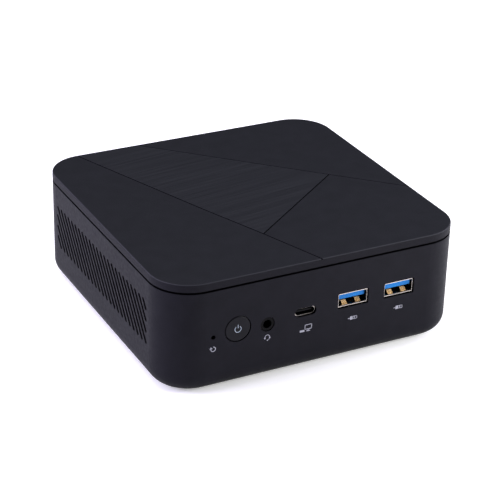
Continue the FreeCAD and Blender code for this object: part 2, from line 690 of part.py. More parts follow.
def cold_plate():
    """A copper plate with four screw holes at its corners."""
    plate = slab(CPU_X - 24, CPU_X + 24, -22.5, 22.5, PACKAGE_TOP_Z, PLATE_TOP_Z, 4.0)
    holes = []
    for x, y in corner_places(COOLER_HOLE_X, COOLER_HOLE_Y):
        holes.append(rod(COOLER_HOLE_RADIUS, CPU_X + x, y, PACKAGE_TOP_Z - 1, 4))
    return plate.cut(holes)


def heat_pipe(y):
    """A flattened copper pipe from the cold plate to the fins, with a tapered tip."""
    length_x0 = CPU_X - 22.0
    pipe = box(length_x0, FIN_X1, y - PIPE_WIDTH / 2, y + PIPE_WIDTH / 2, PLATE_TOP_Z, PIPE_TOP_Z)
    pipe = pipe.makeFillet(PIPE_EDGE, upright_edges(pipe, X_AXIS))
    nose = rod(PIPE_EDGE, length_x0 - 2.4, y, PLATE_TOP_Z + PIPE_HEIGHT / 2, 4, X_AXIS)
    return union([pipe, nose])


def fin_stack():
    """Thin upright fins between two plates, over the hot ends of the pipes."""
    plates = [
        box(FIN_X0, FIN_X1, -FIN_HALF_Y, FIN_HALF_Y, PIPE_TOP_Z, PIPE_TOP_Z + 0.5),
        box(FIN_X0, FIN_X1, -FIN_HALF_Y, FIN_HALF_Y, FIN_TOP_Z - 0.5, FIN_TOP_Z),
    ]
    count = int(2 * FIN_HALF_Y / FIN_PITCH)
    for index in range(count + 1):
        y = -FIN_HALF_Y + index * (2 * FIN_HALF_Y - FIN_THICKNESS) / count
        plates.append(box(FIN_X0, FIN_X1, y, y + FIN_THICKNESS, PIPE_TOP_Z, FIN_TOP_Z))
    return union(plates)


def cooler_screws():
    """Four spring screws that press the cold plate on the processor."""
    screws = []
    for x, y in corner_places(COOLER_HOLE_X, COOLER_HOLE_Y):
        head_low = PLATE_TOP_Z + SPRING_LENGTH
        head_top = head_low + COOLER_HEAD[1]
        shank_low = BOARD_LOW_Z - 1.2
        shank = rod(COOLER_SHANK_RADIUS, CPU_X + x, y, shank_low, head_low - shank_low)
        head = rod(COOLER_HEAD[0], CPU_X + x, y, head_low, COOLER_HEAD[1])
        recess = cross_recess(CPU_X + x, y, head_top - COOLER_CROSS_DEPTH, head_top, CROSS_LENGTH)
        screws.append(union([shank, head]).cut(recess))
    return screws


def cooler_springs():
    """The coil springs under the screw heads, as plain sleeves."""
    springs = []
    for x, y in corner_places(COOLER_HOLE_X, COOLER_HOLE_Y):
        springs.append(tube(SPRING_RADII[0], SPRING_RADII[1], CPU_X + x, y, PLATE_TOP_Z,
                            SPRING_LENGTH))
    return springs


def cooler_nuts():
    """Four threaded nuts under the board that the spring screws hold on to."""
    nuts = []
    for x, y in corner_places(COOLER_HOLE_X, COOLER_HOLE_Y):
        nuts.append(tube(NUT_RADIUS, COOLER_SHANK_RADIUS, CPU_X + x, y,
                         BOARD_LOW_Z - NUT_HEIGHT, NUT_HEIGHT))
    return nuts


# ---- blower ----
FAN_LOW_Z = PIPE_TOP_Z + 0.5
FAN_HIGH_Z = 41.6
FAN_PLATE = 0.8
FAN_HALF_Y = 27.4
FAN_X0 = FAN_X - 27.0
FAN_X1 = FIN_X0
INLET_RADIUS = 17.5
HUB_RADIUS = 10.0
ROTOR_LOW_Z = FAN_LOW_Z + 1.6
ROTOR_HIGH_Z = FAN_HIGH_Z - 1.8
SHAFT_RADIUS = 1.0
SHAFT_LOW_Z = FAN_LOW_Z + 1.2
FAN_WALL = 1.0
EAR_RADIUS = 3.2
EAR_THICKNESS = 1.6
EAR_HOLE_RADIUS = 1.2
SPOKE_HALF_WIDTH = 1.3
FAN_SCREW_HEAD = (2.1, 1.2)
FAN_CROSS_DEPTH = 0.6
FAN_CROSS_LENGTH = 2.2


def fan_outline(inset, z0, z1):
    """The plan of the blower, round on the left and square at its outlet."""
    round_part = rod(FAN_HALF_Y - inset, FAN_X, FAN_Y, z0, z1 - z0)
    outlet = box(FAN_X, FAN_X1, -FAN_HALF_Y + inset, FAN_HALF_Y - inset, z0, z1)
    return union([round_part, outlet])


def fan_housing():
    """The blower's tray with side walls, a spoked lower inlet and three ears."""
    body = fan_outline(0, FAN_LOW_Z, FAN_HIGH_Z - FAN_PLATE)
    hollow = fan_outline(FAN_WALL, FAN_LOW_Z + FAN_PLATE, FAN_HIGH_Z)
    opening = box(FAN_X + 10, FAN_X1 + 1, -FAN_HALF_Y + FAN_WALL, FAN_HALF_Y - FAN_WALL,
                  FAN_LOW_Z + FAN_PLATE, FAN_HIGH_Z)
    body = body.cut([hollow, opening])
    inlet = rod(INLET_RADIUS, FAN_X, FAN_Y, FAN_LOW_Z - 1, 3)
    spokes = [rod(8.5, FAN_X, FAN_Y, FAN_LOW_Z, FAN_PLATE)]
    for index in range(3):
        spoke = box(0, INLET_RADIUS + 1, -SPOKE_HALF_WIDTH, SPOKE_HALF_WIDTH,
                    FAN_LOW_Z, FAN_LOW_Z + FAN_PLATE)
        spoke.rotate(Vector(0, 0, 0), Z_AXIS, 60 + index * 120)
        spoke.translate(Vector(FAN_X, FAN_Y, 0))
        spokes.append(spoke)
    ears = []
    holes = []
    for x, y in FAN_POST_PLACES:
        ears.append(rod(EAR_RADIUS, x, y, FAN_LOW_Z, EAR_THICKNESS))
        holes.append(rod(EAR_HOLE_RADIUS, x, y, FAN_LOW_Z - 1, 4))
    ear_body = union([body.cut(inlet)] + spokes + ears)
    ear_body = ear_body.cut(hollow)
    return ear_body.cut(holes)


def fan_top_plate():
    """A thin steel plate with the upper inlet, over the blower's walls."""
    plate = fan_outline(0, FAN_HIGH_Z - FAN_PLATE, FAN_HIGH_Z)
    return plate.cut(rod(INLET_RADIUS, FAN_X, FAN_Y, FAN_HIGH_Z - 2, 4))


def fan_rotor():
    """A hub cup with many swept blades joined by a ring."""
    hub = rod(HUB_RADIUS, FAN_X, FAN_Y, ROTOR_LOW_Z, ROTOR_HIGH_Z - ROTOR_LOW_Z)
    cup = rod(HUB_RADIUS - 1.0, FAN_X, FAN_Y, ROTOR_LOW_Z - 1, ROTOR_HIGH_Z - ROTOR_LOW_Z)
    pieces = [hub.cut(cup)]
    pieces.append(rod(SHAFT_RADIUS + 1.6, FAN_X, FAN_Y, ROTOR_HIGH_Z - 3.0, 3.0))
    pieces.append(tube(ROTOR_RADIUS, ROTOR_RADIUS - 2.4, FAN_X, FAN_Y, ROTOR_LOW_Z + 3.2, 0.7))
    blade_low = ROTOR_LOW_Z + 0.4
    blade_height = ROTOR_HIGH_Z - 0.4 - blade_low
    for index in range(ROTOR_BLADES):
        start = Vector(HUB_RADIUS - 0.4, 0, blade_low)
        middle = Vector(17.0, 2.0, blade_low)
        end = Vector(ROTOR_RADIUS - 1.1, 7.0, blade_low)
        shift = Vector(-0.25, 0.55, 0)
        edges = [
            Part.Arc(start, middle, end).toShape(),
            Part.LineSegment(end, end + shift).toShape(),
            Part.Arc(end + shift, middle + shift, start + shift).toShape(),
            Part.LineSegment(start + shift, start).toShape(),
        ]
        blade = Part.Face(Part.Wire(edges)).extrude(Vector(0, 0, blade_height))
        blade.rotate(Vector(0, 0, 0), Z_AXIS, index * 360 / ROTOR_BLADES)
        blade.translate(Vector(FAN_X, FAN_Y, 0))
        pieces.append(blade)
    rotor = union(pieces)
    return rotor.cut(rod(SHAFT_RADIUS, FAN_X, FAN_Y, ROTOR_HIGH_Z - 4, 3.4))


def fan_shaft():
    """The steel shaft pressed into the hub, which turns in the sleeve bearing."""
    return rod(SHAFT_RADIUS, FAN_X, FAN_Y, SHAFT_LOW_Z, ROTOR_HIGH_Z - 0.6 - SHAFT_LOW_Z)


def fan_bearing():
    """A bronze sleeve and its post, with the motor's stator around it."""
    top_z = ROTOR_HIGH_Z - 3.4
    post = rod(3.0, FAN_X, FAN_Y, FAN_LOW_Z + FAN_PLATE, top_z - FAN_LOW_Z - FAN_PLATE)
    bore = rod(SHAFT_RADIUS + 0.04, FAN_X, FAN_Y, FAN_LOW_Z + 1.15, 20)
    return post.cut(bore)


def fan_stator():
    """The wound core around the bearing, inside the hub."""
    core = tube(7.6, 3.0, FAN_X, FAN_Y, ROTOR_LOW_Z + 0.4, 3.6)
    gaps = []
    for index in range(6):
        gap = box(4.4, 8.5, -0.6, 0.6, ROTOR_LOW_Z, ROTOR_LOW_Z + 5)
        gap.rotate(Vector(0, 0, 0), Z_AXIS, index * 60)
        gap.translate(Vector(FAN_X, FAN_Y, 0))
        gaps.append(gap)
    return core.cut(gaps)


def fan_standoffs():
    """Three brass posts between the board and the blower."""
    posts = []
    for x, y in FAN_POST_PLACES:
        posts.append(tube(FAN_POST_RADIUS, SCREW_SHANK_RADIUS, x, y, BOARD_TOP_Z,
                          FAN_LOW_Z - BOARD_TOP_Z))
    return posts


def fan_screws():
    """Three screws through the blower's ears."""
    screws = []
    for x, y in FAN_POST_PLACES:
        head_low = FAN_LOW_Z + EAR_THICKNESS
        head_top = head_low + FAN_SCREW_HEAD[1]
        head = rod(FAN_SCREW_HEAD[0], x, y, head_low, FAN_SCREW_HEAD[1])
        shank = rod(SCREW_SHANK_RADIUS, x, y, FAN_LOW_Z - 4.0, head_low - FAN_LOW_Z + 4.0)
        recess = cross_recess(x, y, head_top - FAN_CROSS_DEPTH, head_top, FAN_CROSS_LENGTH)
        screws.append(union([head, shank]).cut(recess))
    return screws


# ---- memory, storage and radio ----
MEMORY_X = -8.0
MEMORY_Y1 = -6.0
MEMORY_LENGTH = 67.6
MEMORY_DEPTH = 30.0
MEMORY_LOW_Z = 12.0
MEMORY_CARD = 1.2
MEMORY_FIRST_Z = MEMORY_LOW_Z + 1.6
MEMORY_LEVEL_PITCH = 4.2
MEMORY_SLOT_DEPTH = 2.2
MEMORY_CHIP = (11.4, 1.0)
MEMORY_CHIP_PITCH = 15.9


def sodimm_socket():
    """A double-height memory socket under the board, with side latch arms."""
    half = MEMORY_LENGTH / 2 + 2.2
    body = box(MEMORY_X - half, MEMORY_X + half, MEMORY_Y1 - 6.0, MEMORY_Y1,
               MEMORY_LOW_Z, BOARD_LOW_Z)
    cuts = []
    for level in (0, 1):
        z = MEMORY_FIRST_Z + level * MEMORY_LEVEL_PITCH
        cuts.append(box(MEMORY_X - MEMORY_LENGTH / 2, MEMORY_X + MEMORY_LENGTH / 2,
                        MEMORY_Y1 - 7.0, MEMORY_Y1 - MEMORY_SLOT_DEPTH, z, z + MEMORY_CARD))
    arms = []
    for side in (-1, 1):
        x_in = MEMORY_X + side * (MEMORY_LENGTH / 2 + 0.2)
        x_out = MEMORY_X + side * half
        arms.append(box(min(x_in, x_out), max(x_in, x_out), MEMORY_Y1 - 22.0, MEMORY_Y1 - 5.0,
                        MEMORY_LOW_Z + 1.0, BOARD_LOW_Z - 2.0))
    return union([body.cut(cuts)] + arms)


def sodimm_module(level):
    """A memory module: a thin board with chips on both faces."""
    z = MEMORY_FIRST_Z + level * MEMORY_LEVEL_PITCH
    top = z + MEMORY_CARD
    x0 = MEMORY_X - MEMORY_LENGTH / 2
    y1 = MEMORY_Y1 - MEMORY_SLOT_DEPTH
    card = box(x0, x0 + MEMORY_LENGTH, y1 - MEMORY_DEPTH, y1, z, top)
    chips = []
    for index in range(4):
        x = x0 + 4.0 + index * MEMORY_CHIP_PITCH
        for low, high in ((z - MEMORY_CHIP[1], z), (top, top + MEMORY_CHIP[1])):
            chips.append(box(x, x + MEMORY_CHIP[0], y1 - 24.0, y1 - 10.5, low, high))
    return union([card] + chips)


SSD_X0 = -40.0
SSD_LENGTH = 80.0
SSD_Y = 20.0
SSD_HALF_Y = 11.0
SSD_Z = 18.4
SSD_CARD = 0.8


def m2_socket():
    """The M.2 edge socket under the board."""
    body = box(SSD_X0 - 5.0, SSD_X0 + 3.6, SSD_Y - SSD_HALF_Y, SSD_Y + SSD_HALF_Y,
               SSD_Z - 1.0, BOARD_LOW_Z)
    return body.cut(box(SSD_X0, SSD_X0 + 4, SSD_Y - SSD_HALF_Y - 0.1, SSD_Y + SSD_HALF_Y + 0.1,
                        SSD_Z, SSD_Z + SSD_CARD))


def m2_ssd():
    """An 80 mm M.2 drive with its chips on the lower face."""
    card = box(SSD_X0, SSD_X0 + SSD_LENGTH, SSD_Y - SSD_HALF_Y, SSD_Y + SSD_HALF_Y,
               SSD_Z, SSD_Z + SSD_CARD)
    card = card.cut(rod(1.75, SSD_X0 + SSD_LENGTH, SSD_Y, SSD_Z - 1, 3))
    chips = [
        box(SSD_X0 + 10, SSD_X0 + 22, SSD_Y - 6, SSD_Y + 6, SSD_Z - 1.2, SSD_Z),
        box(SSD_X0 + 28, SSD_X0 + 46, SSD_Y - 7, SSD_Y + 7, SSD_Z - 1.4, SSD_Z),
        box(SSD_X0 + 52, SSD_X0 + 70, SSD_Y - 7, SSD_Y + 7, SSD_Z - 1.4, SSD_Z),
    ]
    return union([card] + chips)


def m2_standoff():
    """The post and screw at the free end of the M.2 drive."""
    x = SSD_X0 + SSD_LENGTH
    card_top = SSD_Z + SSD_CARD
    post = rod(3.0, x, SSD_Y, card_top, BOARD_LOW_Z - card_top)
    neck = rod(1.6, x, SSD_Y, SSD_Z, SSD_CARD)
    head = rod(2.8, x, SSD_Y, SSD_Z - 1.2, 1.2)
    return union([post, neck, head]).cut(rod(0.9, x, SSD_Y, SSD_Z - 1.3, 0.8))


WIFI_X0 = -56.0
WIFI_Y0 = -47.5
WIFI_Z = BOARD_TOP_Z + 2.2


def wifi_module():
    """A shielded wireless card on the upper side of the board."""
    card = box(WIFI_X0, WIFI_X0 + 30.0, WIFI_Y0, WIFI_Y0 + 22.0, WIFI_Z, WIFI_Z + 0.8)
    shield = slab(WIFI_X0 + 8, WIFI_X0 + 27, WIFI_Y0 + 3, WIFI_Y0 + 20, WIFI_Z + 0.8,
                  WIFI_Z + 2.3, 0.8)
    plugs = [
        rod(1.2, WIFI_X0 + 3.4, WIFI_Y0 + 5.0, WIFI_Z + 0.8, 1.2),
        rod(1.2, WIFI_X0 + 3.4, WIFI_Y0 + 17.0, WIFI_Z + 0.8, 1.2),
    ]
    return union([card, shield] + plugs)


def wifi_socket():
    """The edge socket and the standoff that carry the wireless card."""
    x1 = WIFI_X0 + 30.0
    body = box(x1 - 3.0, x1 + 4.6, WIFI_Y0, WIFI_Y0 + 22.0, BOARD_TOP_Z, WIFI_Z + 1.6)
    body = body.cut(box(x1 - 4, x1, WIFI_Y0 - 0.1, WIFI_Y0 + 22.1, WIFI_Z, WIFI_Z + 0.8))
    body = body.cut(box(x1 - 4, x1 - 2.9, WIFI_Y0 - 0.1, WIFI_Y0 + 22.1, WIFI_Z + 0.8, WIFI_Z + 3))
    post = rod(2.4, WIFI_X0 + 2.0, WIFI_Y0 + 11.0, BOARD_TOP_Z, WIFI_Z - BOARD_TOP_Z)
    return [body, post]


ANTENNA_Z0 = 34.6
ANTENNA_Z1 = 41.6


def wifi_antennas():
    """Two flat antenna strips stuck to the inside of the front and left walls."""
    front = box(-44.0, -16.0, FRONT_INNER_Y, FRONT_INNER_Y + 0.7, ANTENNA_Z0, ANTENNA_Z1)
    left_x = -HALF_W + WALL
    left = box(left_x, left_x + 0.7, -34.0, -6.0, ANTENNA_Z0 + 0.6, ANTENNA_Z1)
    return [front, left]


LEAD_RADIUS = 0.55


def lead(points, bend):
    """A thin round lead along straight runs joined by tangent arcs."""
    edges = []
    previous = points[0]
    for before, corner, after in zip(points[:-2], points[1:-1], points[2:]):
        into = (corner - before).normalize()
        out = (after - corner).normalize()
        half_turn = math.acos(max(-1.0, min(1.0, into.dot(out)))) / 2
        reach = bend * math.tan(half_turn)
        start = corner - into * reach
        end = corner + out * reach
        bisector = (out - into).normalize()
        centre = corner + bisector * (bend / math.cos(half_turn))
        middle = centre - bisector * bend
        edges.append(Part.LineSegment(previous, start).toShape())
        edges.append(Part.Arc(start, middle, end).toShape())
        previous = end
    edges.append(Part.LineSegment(previous, points[-1]).toShape())
    path = Part.Wire(edges)
    first = (points[1] - points[0]).normalize()
    ring = Part.Wire(Part.makeCircle(LEAD_RADIUS, points[0], first))
    return path.makePipeShell([ring], True, False)


def antenna_leads():
    """The two thin coaxial leads from the wireless card to its antennas."""
    plug_x = WIFI_X0 + 3.4
    plug_top = WIFI_Z + 2.0
    to_front = lead([
        Vector(plug_x, WIFI_Y0 + 5.0, plug_top),
        Vector(plug_x, WIFI_Y0 + 5.0, plug_top + 4.2),
        Vector(-40.0, -57.8, 36.0),
        Vector(-40.0, FRONT_INNER_Y + 0.7, 38.4),
    ], 2.0)
    to_left = lead([
        Vector(plug_x, WIFI_Y0 + 17.0, plug_top),
        Vector(plug_x, WIFI_Y0 + 17.0, plug_top + 4.2),
        Vector(-58.4, -28.0, 36.5),
        Vector(-HALF_W + WALL + 0.7, -24.0, 38.4),
    ], 2.0)
    return [to_front, to_left]


CELL_X = 47.0
CELL_Y = -4.0


def coin_cell():
    """The clock's coin cell under the board."""
    cell = rod(10.0, CELL_X, CELL_Y, BOARD_LOW_Z - 4.2, 3.2)
    rims = [edge for edge in cell.Edges if edge.BoundBox.ZMax < BOARD_LOW_Z - 4.1]
    return cell.makeFillet(0.5, rims)


def coin_cell_holder():
    """A moulded ring with a floor that holds the cell on the board."""
    ring = tube(11.6, 10.2, CELL_X, CELL_Y, BOARD_LOW_Z - 3.6, 3.6)
    floor = rod(10.4, CELL_X, CELL_Y, BOARD_LOW_Z - 1.0, 1.0)
    gap = box(CELL_X - 3, CELL_X + 3, CELL_Y - 13, CELL_Y - 9.8, BOARD_LOW_Z - 4, BOARD_LOW_Z - 1.2)
    return union([ring, floor]).cut(gap)


DRIVE_X0 = -49.0
DRIVE_X1 = 51.0
DRIVE_HALF_Y = 34.9
DRIVE_LOW_Z = 4.0
DRIVE_HIGH_Z = 11.0


def drive():
    """A 7 mm high 2.5 inch drive with a rounded metal case."""
    block = slab(DRIVE_X0, DRIVE_X1, -DRIVE_HALF_Y, DRIVE_HALF_Y, DRIVE_LOW_Z, DRIVE_HIGH_Z, 2.0)
    socket = box(DRIVE_X0 - 1, DRIVE_X0 + 5, -12.0, 22.0, DRIVE_LOW_Z + 1.0, DRIVE_LOW_Z + 4.5)
    return block.cut(socket)


def drive_bracket():
    """A folded steel tray: two side rails joined by a front and a back strap."""
    low = FOOT_HEIGHT + FLOOR_THICKNESS
    pieces = []
    for side in (-1, 1):
        inner = side * DRIVE_HALF_Y
        outer = side * (DRIVE_HALF_Y + 1.0)
        pieces.append(box(-30.0, 30.0, min(inner, outer), max(inner, outer),
                          low, DRIVE_HIGH_Z - 1.0))
    for x in (-25.0, 15.0):
        pieces.append(box(x, x + 10, -DRIVE_HALF_Y - 1.0, DRIVE_HALF_Y + 1.0, low, DRIVE_LOW_Z))
    return union(pieces)


def drive_ribbon():
    """The flat power and data ribbon from the drive up to the board."""
    x = DRIVE_X0 + 0.4
    plug = box(x, DRIVE_X0 + 5, -11.8, 21.8, DRIVE_LOW_Z + 1.2, DRIVE_LOW_Z + 4.3)
    out = box(x - 3.4, x, -8.0, 12.0, DRIVE_LOW_Z + 2.4, DRIVE_LOW_Z + 3.0)
    rise = box(x - 3.4, x - 2.8, -8.0, 12.0, DRIVE_LOW_Z + 2.4, BOARD_LOW_Z)
    return union([plug, out, rise])


# ---- rear ports ----
REAR_MOUTH_Y = REAR_INNER_Y + 1.0
SHIELD_THICKNESS = 0.5
DC_X = 42.4
DC_Z = 30.4
HDMI_X = 27.6
DISPLAY_X = 9.8
NETWORK_X = -8.2
REAR_USB_X = (-24.6, -40.2)
REAR_USB_Z = (28.2, 36.0)
REAR_USB_DEPTH = 16.0
REAR_USB_CAVITY = 13.0
REAR_USB_HEIGHT = 14.4
REAR_USB_LIFT = 0.8
LOW_PORT_Z = 26.9


def rear_io_shield():
    """A thin steel plate inside the rear window, cut out for each port."""
    x0, x1, z0, z1 = REAR_WINDOW
    y0 = REAR_INNER_Y - SHIELD_THICKNESS
    y1 = REAR_INNER_Y
    plate = box(x0 - 1.0, x1 + 0.4, y0, y1, z0 - 0.3, z1 + 1.0)
    cuts = [
        port(DC_X, 29.9, 9.6, 12.2, 0.6, y0 - 1, y1 + 1),
        port(HDMI_X, LOW_PORT_Z, 15.6, 6.1, 0.4, y0 - 1, y1 + 1),
        port(DISPLAY_X, LOW_PORT_Z, 16.6, 6.1, 0.4, y0 - 1, y1 + 1),
        port(NETWORK_X, 30.7, 16.3, 13.9, 0.4, y0 - 1, y1 + 1),
    ]
    for x in REAR_USB_X:
        cuts.append(port(x, 32.1, USB_WIDTH + 0.5, 15.0, 0.4, y0 - 1, y1 + 1))
    for index in range(13):
        x = 1.6 + index * 2.6
        for level in range(3):
            cuts.append(rod(0.8, x + 1.3 * (level % 2), y0 - 1, 33.4 + level * 2.3, 3, Y_AXIS))
    return plate.cut(cuts)


def dc_in_jack():
    """The moulded power inlet with a round socket."""
    body = box(DC_X - 4.6, DC_X + 4.6, 49.0, REAR_MOUTH_Y, BOARD_TOP_Z, DC_Z + 5.4)
    return body.cut(rod(3.2, DC_X, 52.0, DC_Z, 20, Y_AXIS))


def dc_in_pin():
    """The centre pin of the power inlet."""
    return rod(1.2, DC_X, 52.0, DC_Z, REAR_MOUTH_Y - 52.6, Y_AXIS)


def shaped_port(x, width, height, bevels, depth):
    """A steel video shell whose lower corners are cut back, with its tongue."""
    y1 = REAR_MOUTH_Y
    y0 = y1 - depth
    low = BOARD_TOP_Z + 0.1
    high = low + height

    def outline(inset):
        half = width / 2 - inset
        points = [Vector(x - half, 0, high - inset), Vector(x + half, 0, high - inset)]
        points.append(Vector(x + half, 0, low + inset + bevels[1]))
        points.append(Vector(x + half - bevels[1], 0, low + inset))
        points.append(Vector(x - half + bevels[0], 0, low + inset))
        if bevels[0] > 0:
            points.append(Vector(x - half, 0, low + inset + bevels[0]))
        points.append(points[0])
        return Part.Face(Part.makePolygon(points))

    outer = outline(0).extrude(Vector(0, depth, 0))
    outer.translate(Vector(0, y0, 0))
    inner = outline(0.35).extrude(Vector(0, depth, 0))
    inner.translate(Vector(0, y0 + 1.5, 0))
    middle_z = (low + high) / 2
    tongue = box(x - width / 2 + 2.6, x + width / 2 - 2.6, y0 + 1.0, y1 - 1.4,
                 middle_z - 0.5, middle_z + 0.8)
    return union([outer.cut(inner), tongue])


def network_jack():
    """The shielded network jack with a stepped cavity."""
    y1 = REAR_MOUTH_Y
    body = box(NETWORK_X - 7.9, NETWORK_X + 7.9, y1 - 16.0, y1, BOARD_TOP_Z, BOARD_TOP_Z + 13.4)
    wide = box(NETWORK_X - 5.95, NETWORK_X + 5.95, y1 - 12.0, y1 + 1,
               BOARD_TOP_Z + 3.6, BOARD_TOP_Z + 11.0)
    latch = box(NETWORK_X - 3.2, NETWORK_X + 3.2, y1 - 12.0, y1 + 1,
                BOARD_TOP_Z + 1.6, BOARD_TOP_Z + 3.7)
    return body.cut([wide, latch])


def rear_usb_stack(x):
    """Two USB-A shells one above the other in one steel frame."""
    y1 = REAR_MOUTH_Y
    y0 = y1 - REAR_USB_DEPTH
    low = BOARD_TOP_Z + REAR_USB_LIFT
    body = box(x - USB_WIDTH / 2, x + USB_WIDTH / 2, y0, y1, low, low + REAR_USB_HEIGHT)
    holes = []
    for z in REAR_USB_Z:
        holes.append(port(x, z, USB_WIDTH - 2 * USB_SHELL, USB_HEIGHT - 2 * USB_SHELL, 0.2,
                          y1 - REAR_USB_CAVITY, y1 + 1))
    base = box(x - USB_WIDTH / 2 + 0.5, x + USB_WIDTH / 2 - 0.5, y0, y1 - 3.0, BOARD_TOP_Z, low)
    return union([body.cut(holes), base])


def rear_usb_tongues():
    """The four tongues inside the rear USB-A shells."""
    tongues = []
    y1 = REAR_MOUTH_Y
    for x in REAR_USB_X:
        for z in REAR_USB_Z:
            tongues.append(box(x - TONGUE_HALF_X, x + TONGUE_HALF_X, y1 - REAR_USB_CAVITY, y1 - 1.0,
                               z + TONGUE_LOW, z + TONGUE_HIGH))
    return tongues


# ---- every node, with the solids it holds ----
NODES = {
    "top_cover": [top_cover()],
    "main_housing": [main_housing()],
    "bottom_cover": [bottom_cover()],
    "bottom_cover_screws": bottom_cover_screws(),
    "rubber_feet": rubber_feet(),
    "power_button": [power_button()],
    "power_light_guide": [power_light_guide()],
    "power_switch_body": [power_switch_body()],
    "power_switch_plunger": [power_switch_plunger()],
    "reset_switch_body": [reset_switch_body()],
    "reset_switch_plunger": [reset_switch_plunger()],
    "audio_jack": [audio_jack()],
    "usb_c_shell": [usb_c_shell()],
    "usb_c_moulding": usb_c_moulding(),
    "motherboard": [motherboard()],
    "motherboard_screws": motherboard_screws(),
    "power_chokes": power_chokes(),
    "board_capacitors": board_capacitors(),
    "board_chips": board_chips(),
    "cpu_package": [cpu_package()],
    "cold_plate": [cold_plate()],
    "heat_pipe_front": [heat_pipe(-PIPE_Y)],
    "heat_pipe_rear": [heat_pipe(PIPE_Y)],
    "fin_stack": [fin_stack()],
    "cooler_screws": cooler_screws(),
    "cooler_springs": cooler_springs(),
    "cooler_nuts": cooler_nuts(),
    "fan_housing": [fan_housing()],
    "fan_top_plate": [fan_top_plate()],
    "fan_rotor": [fan_rotor()],
    "fan_shaft": [fan_shaft()],
    "fan_bearing": [fan_bearing()],
    "fan_stator": [fan_stator()],
    "fan_standoffs": fan_standoffs(),
    "fan_screws": fan_screws(),
    "sodimm_socket": [sodimm_socket()],
    "sodimm_module_lower": [sodimm_module(0)],
    "sodimm_module_upper": [sodimm_module(1)],
    "m2_socket": [m2_socket()],
    "m2_ssd": [m2_ssd()],
    "m2_standoff": [m2_standoff()],
    "wifi_module": [wifi_module()],
    "wifi_socket": wifi_socket(),
    "wifi_antennas": wifi_antennas(),
    "antenna_leads": antenna_leads(),
    "coin_cell": [coin_cell()],
    "coin_cell_holder": [coin_cell_holder()],
    "drive_2_5_inch": [drive()],
    "drive_bracket": [drive_bracket()],
    "drive_ribbon": [drive_ribbon()],
    "rear_io_shield": [rear_io_shield()],
    "dc_in_jack": [dc_in_jack()],
    "dc_in_pin": [dc_in_pin()],
    "video_ports": [shaped_port(HDMI_X, 15.0, 5.6, (1.9, 1.9), 12.0),
                    shaped_port(DISPLAY_X, 16.0, 5.6, (2.4, 0.0), 12.0)],
    "network_jack": [network_jack()],
    "rear_usb_stacks": [rear_usb_stack(x) for x in REAR_USB_X],
    "rear_usb_tongues": rear_usb_tongues(),
}
for x in FRONT_USB_X:
    NODES.setdefault("front_usb_shells", []).append(usb_shell(x, USB_Z, USB_MOUTH_Y))
    NODES.setdefault("front_usb_tongues", []).append(usb_tongue(x, USB_Z, USB_MOUTH_Y))
    NODES.setdefault("front_usb_fingers", []).extend(usb_fingers(x, USB_Z, USB_MOUTH_Y))

os.makedirs("parts", exist_ok=True)
for node, solids in NODES.items():
    save(node, *solids)
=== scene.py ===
import json
import math
import random

import bmesh
import bpy
from mathutils import Matrix, Vector
from mathutils.bvhtree import BVHTree


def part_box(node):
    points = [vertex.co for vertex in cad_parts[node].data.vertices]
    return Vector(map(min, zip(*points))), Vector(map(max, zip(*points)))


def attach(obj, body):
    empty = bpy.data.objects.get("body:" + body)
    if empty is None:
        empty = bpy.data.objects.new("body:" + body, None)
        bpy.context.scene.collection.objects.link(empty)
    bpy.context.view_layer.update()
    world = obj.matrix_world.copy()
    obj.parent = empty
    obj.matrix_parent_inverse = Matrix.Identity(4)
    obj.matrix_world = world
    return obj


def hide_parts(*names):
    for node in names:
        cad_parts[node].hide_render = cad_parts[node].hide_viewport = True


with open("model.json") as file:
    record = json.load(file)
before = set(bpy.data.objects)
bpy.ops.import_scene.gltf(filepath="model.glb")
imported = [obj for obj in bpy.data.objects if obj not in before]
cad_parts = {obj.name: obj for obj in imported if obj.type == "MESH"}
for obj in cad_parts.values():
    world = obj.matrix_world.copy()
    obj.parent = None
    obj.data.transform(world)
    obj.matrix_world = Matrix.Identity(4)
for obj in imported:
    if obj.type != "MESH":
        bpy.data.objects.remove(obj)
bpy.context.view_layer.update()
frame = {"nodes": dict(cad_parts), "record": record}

MM = 0.001
NODES = frame["nodes"]
SCENE = bpy.context.scene


def middle_of(box):
    """The middle between a box's low and high corners."""
    low, high = box
    return (low + high) / 2


# ---- places read from the CAD model ----
CASE_LOW, CASE_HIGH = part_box("main_housing")
LID_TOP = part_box("top_cover")[1].z
FRONT_Y = CASE_LOW.y
BUTTON_MIDDLE = middle_of(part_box("power_button"))
RESET_X = middle_of(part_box("reset_switch_plunger")).x
AUDIO_X = middle_of(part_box("audio_jack")).x
USB_C_X = middle_of(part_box("usb_c_shell")).x
JACK_LOW, JACK_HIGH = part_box("network_jack")
JACK_X = middle_of((JACK_LOW, JACK_HIGH)).x
BOARD_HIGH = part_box("motherboard")[1]
BOARD_TOP = BOARD_HIGH.z
MOUNTS = {mount["name"]: mount for mount in frame["record"]["mounts"]}

# ---- camera: lens and sensor in millimetres, distances in metres ----
CAMERA_AZIMUTH = math.radians(-27.775)
CAMERA_ELEVATION = math.radians(26.909)
CAMERA_ROLL = math.radians(1.58)
CAMERA_LENS = 123.6
CAMERA_SENSOR = 36.0
CAMERA_NEAR = 0.01
CAMERA_DISTANCE = 0.72177
CAMERA_SIDE = 0.00247
CAMERA_RISE = 0.01920


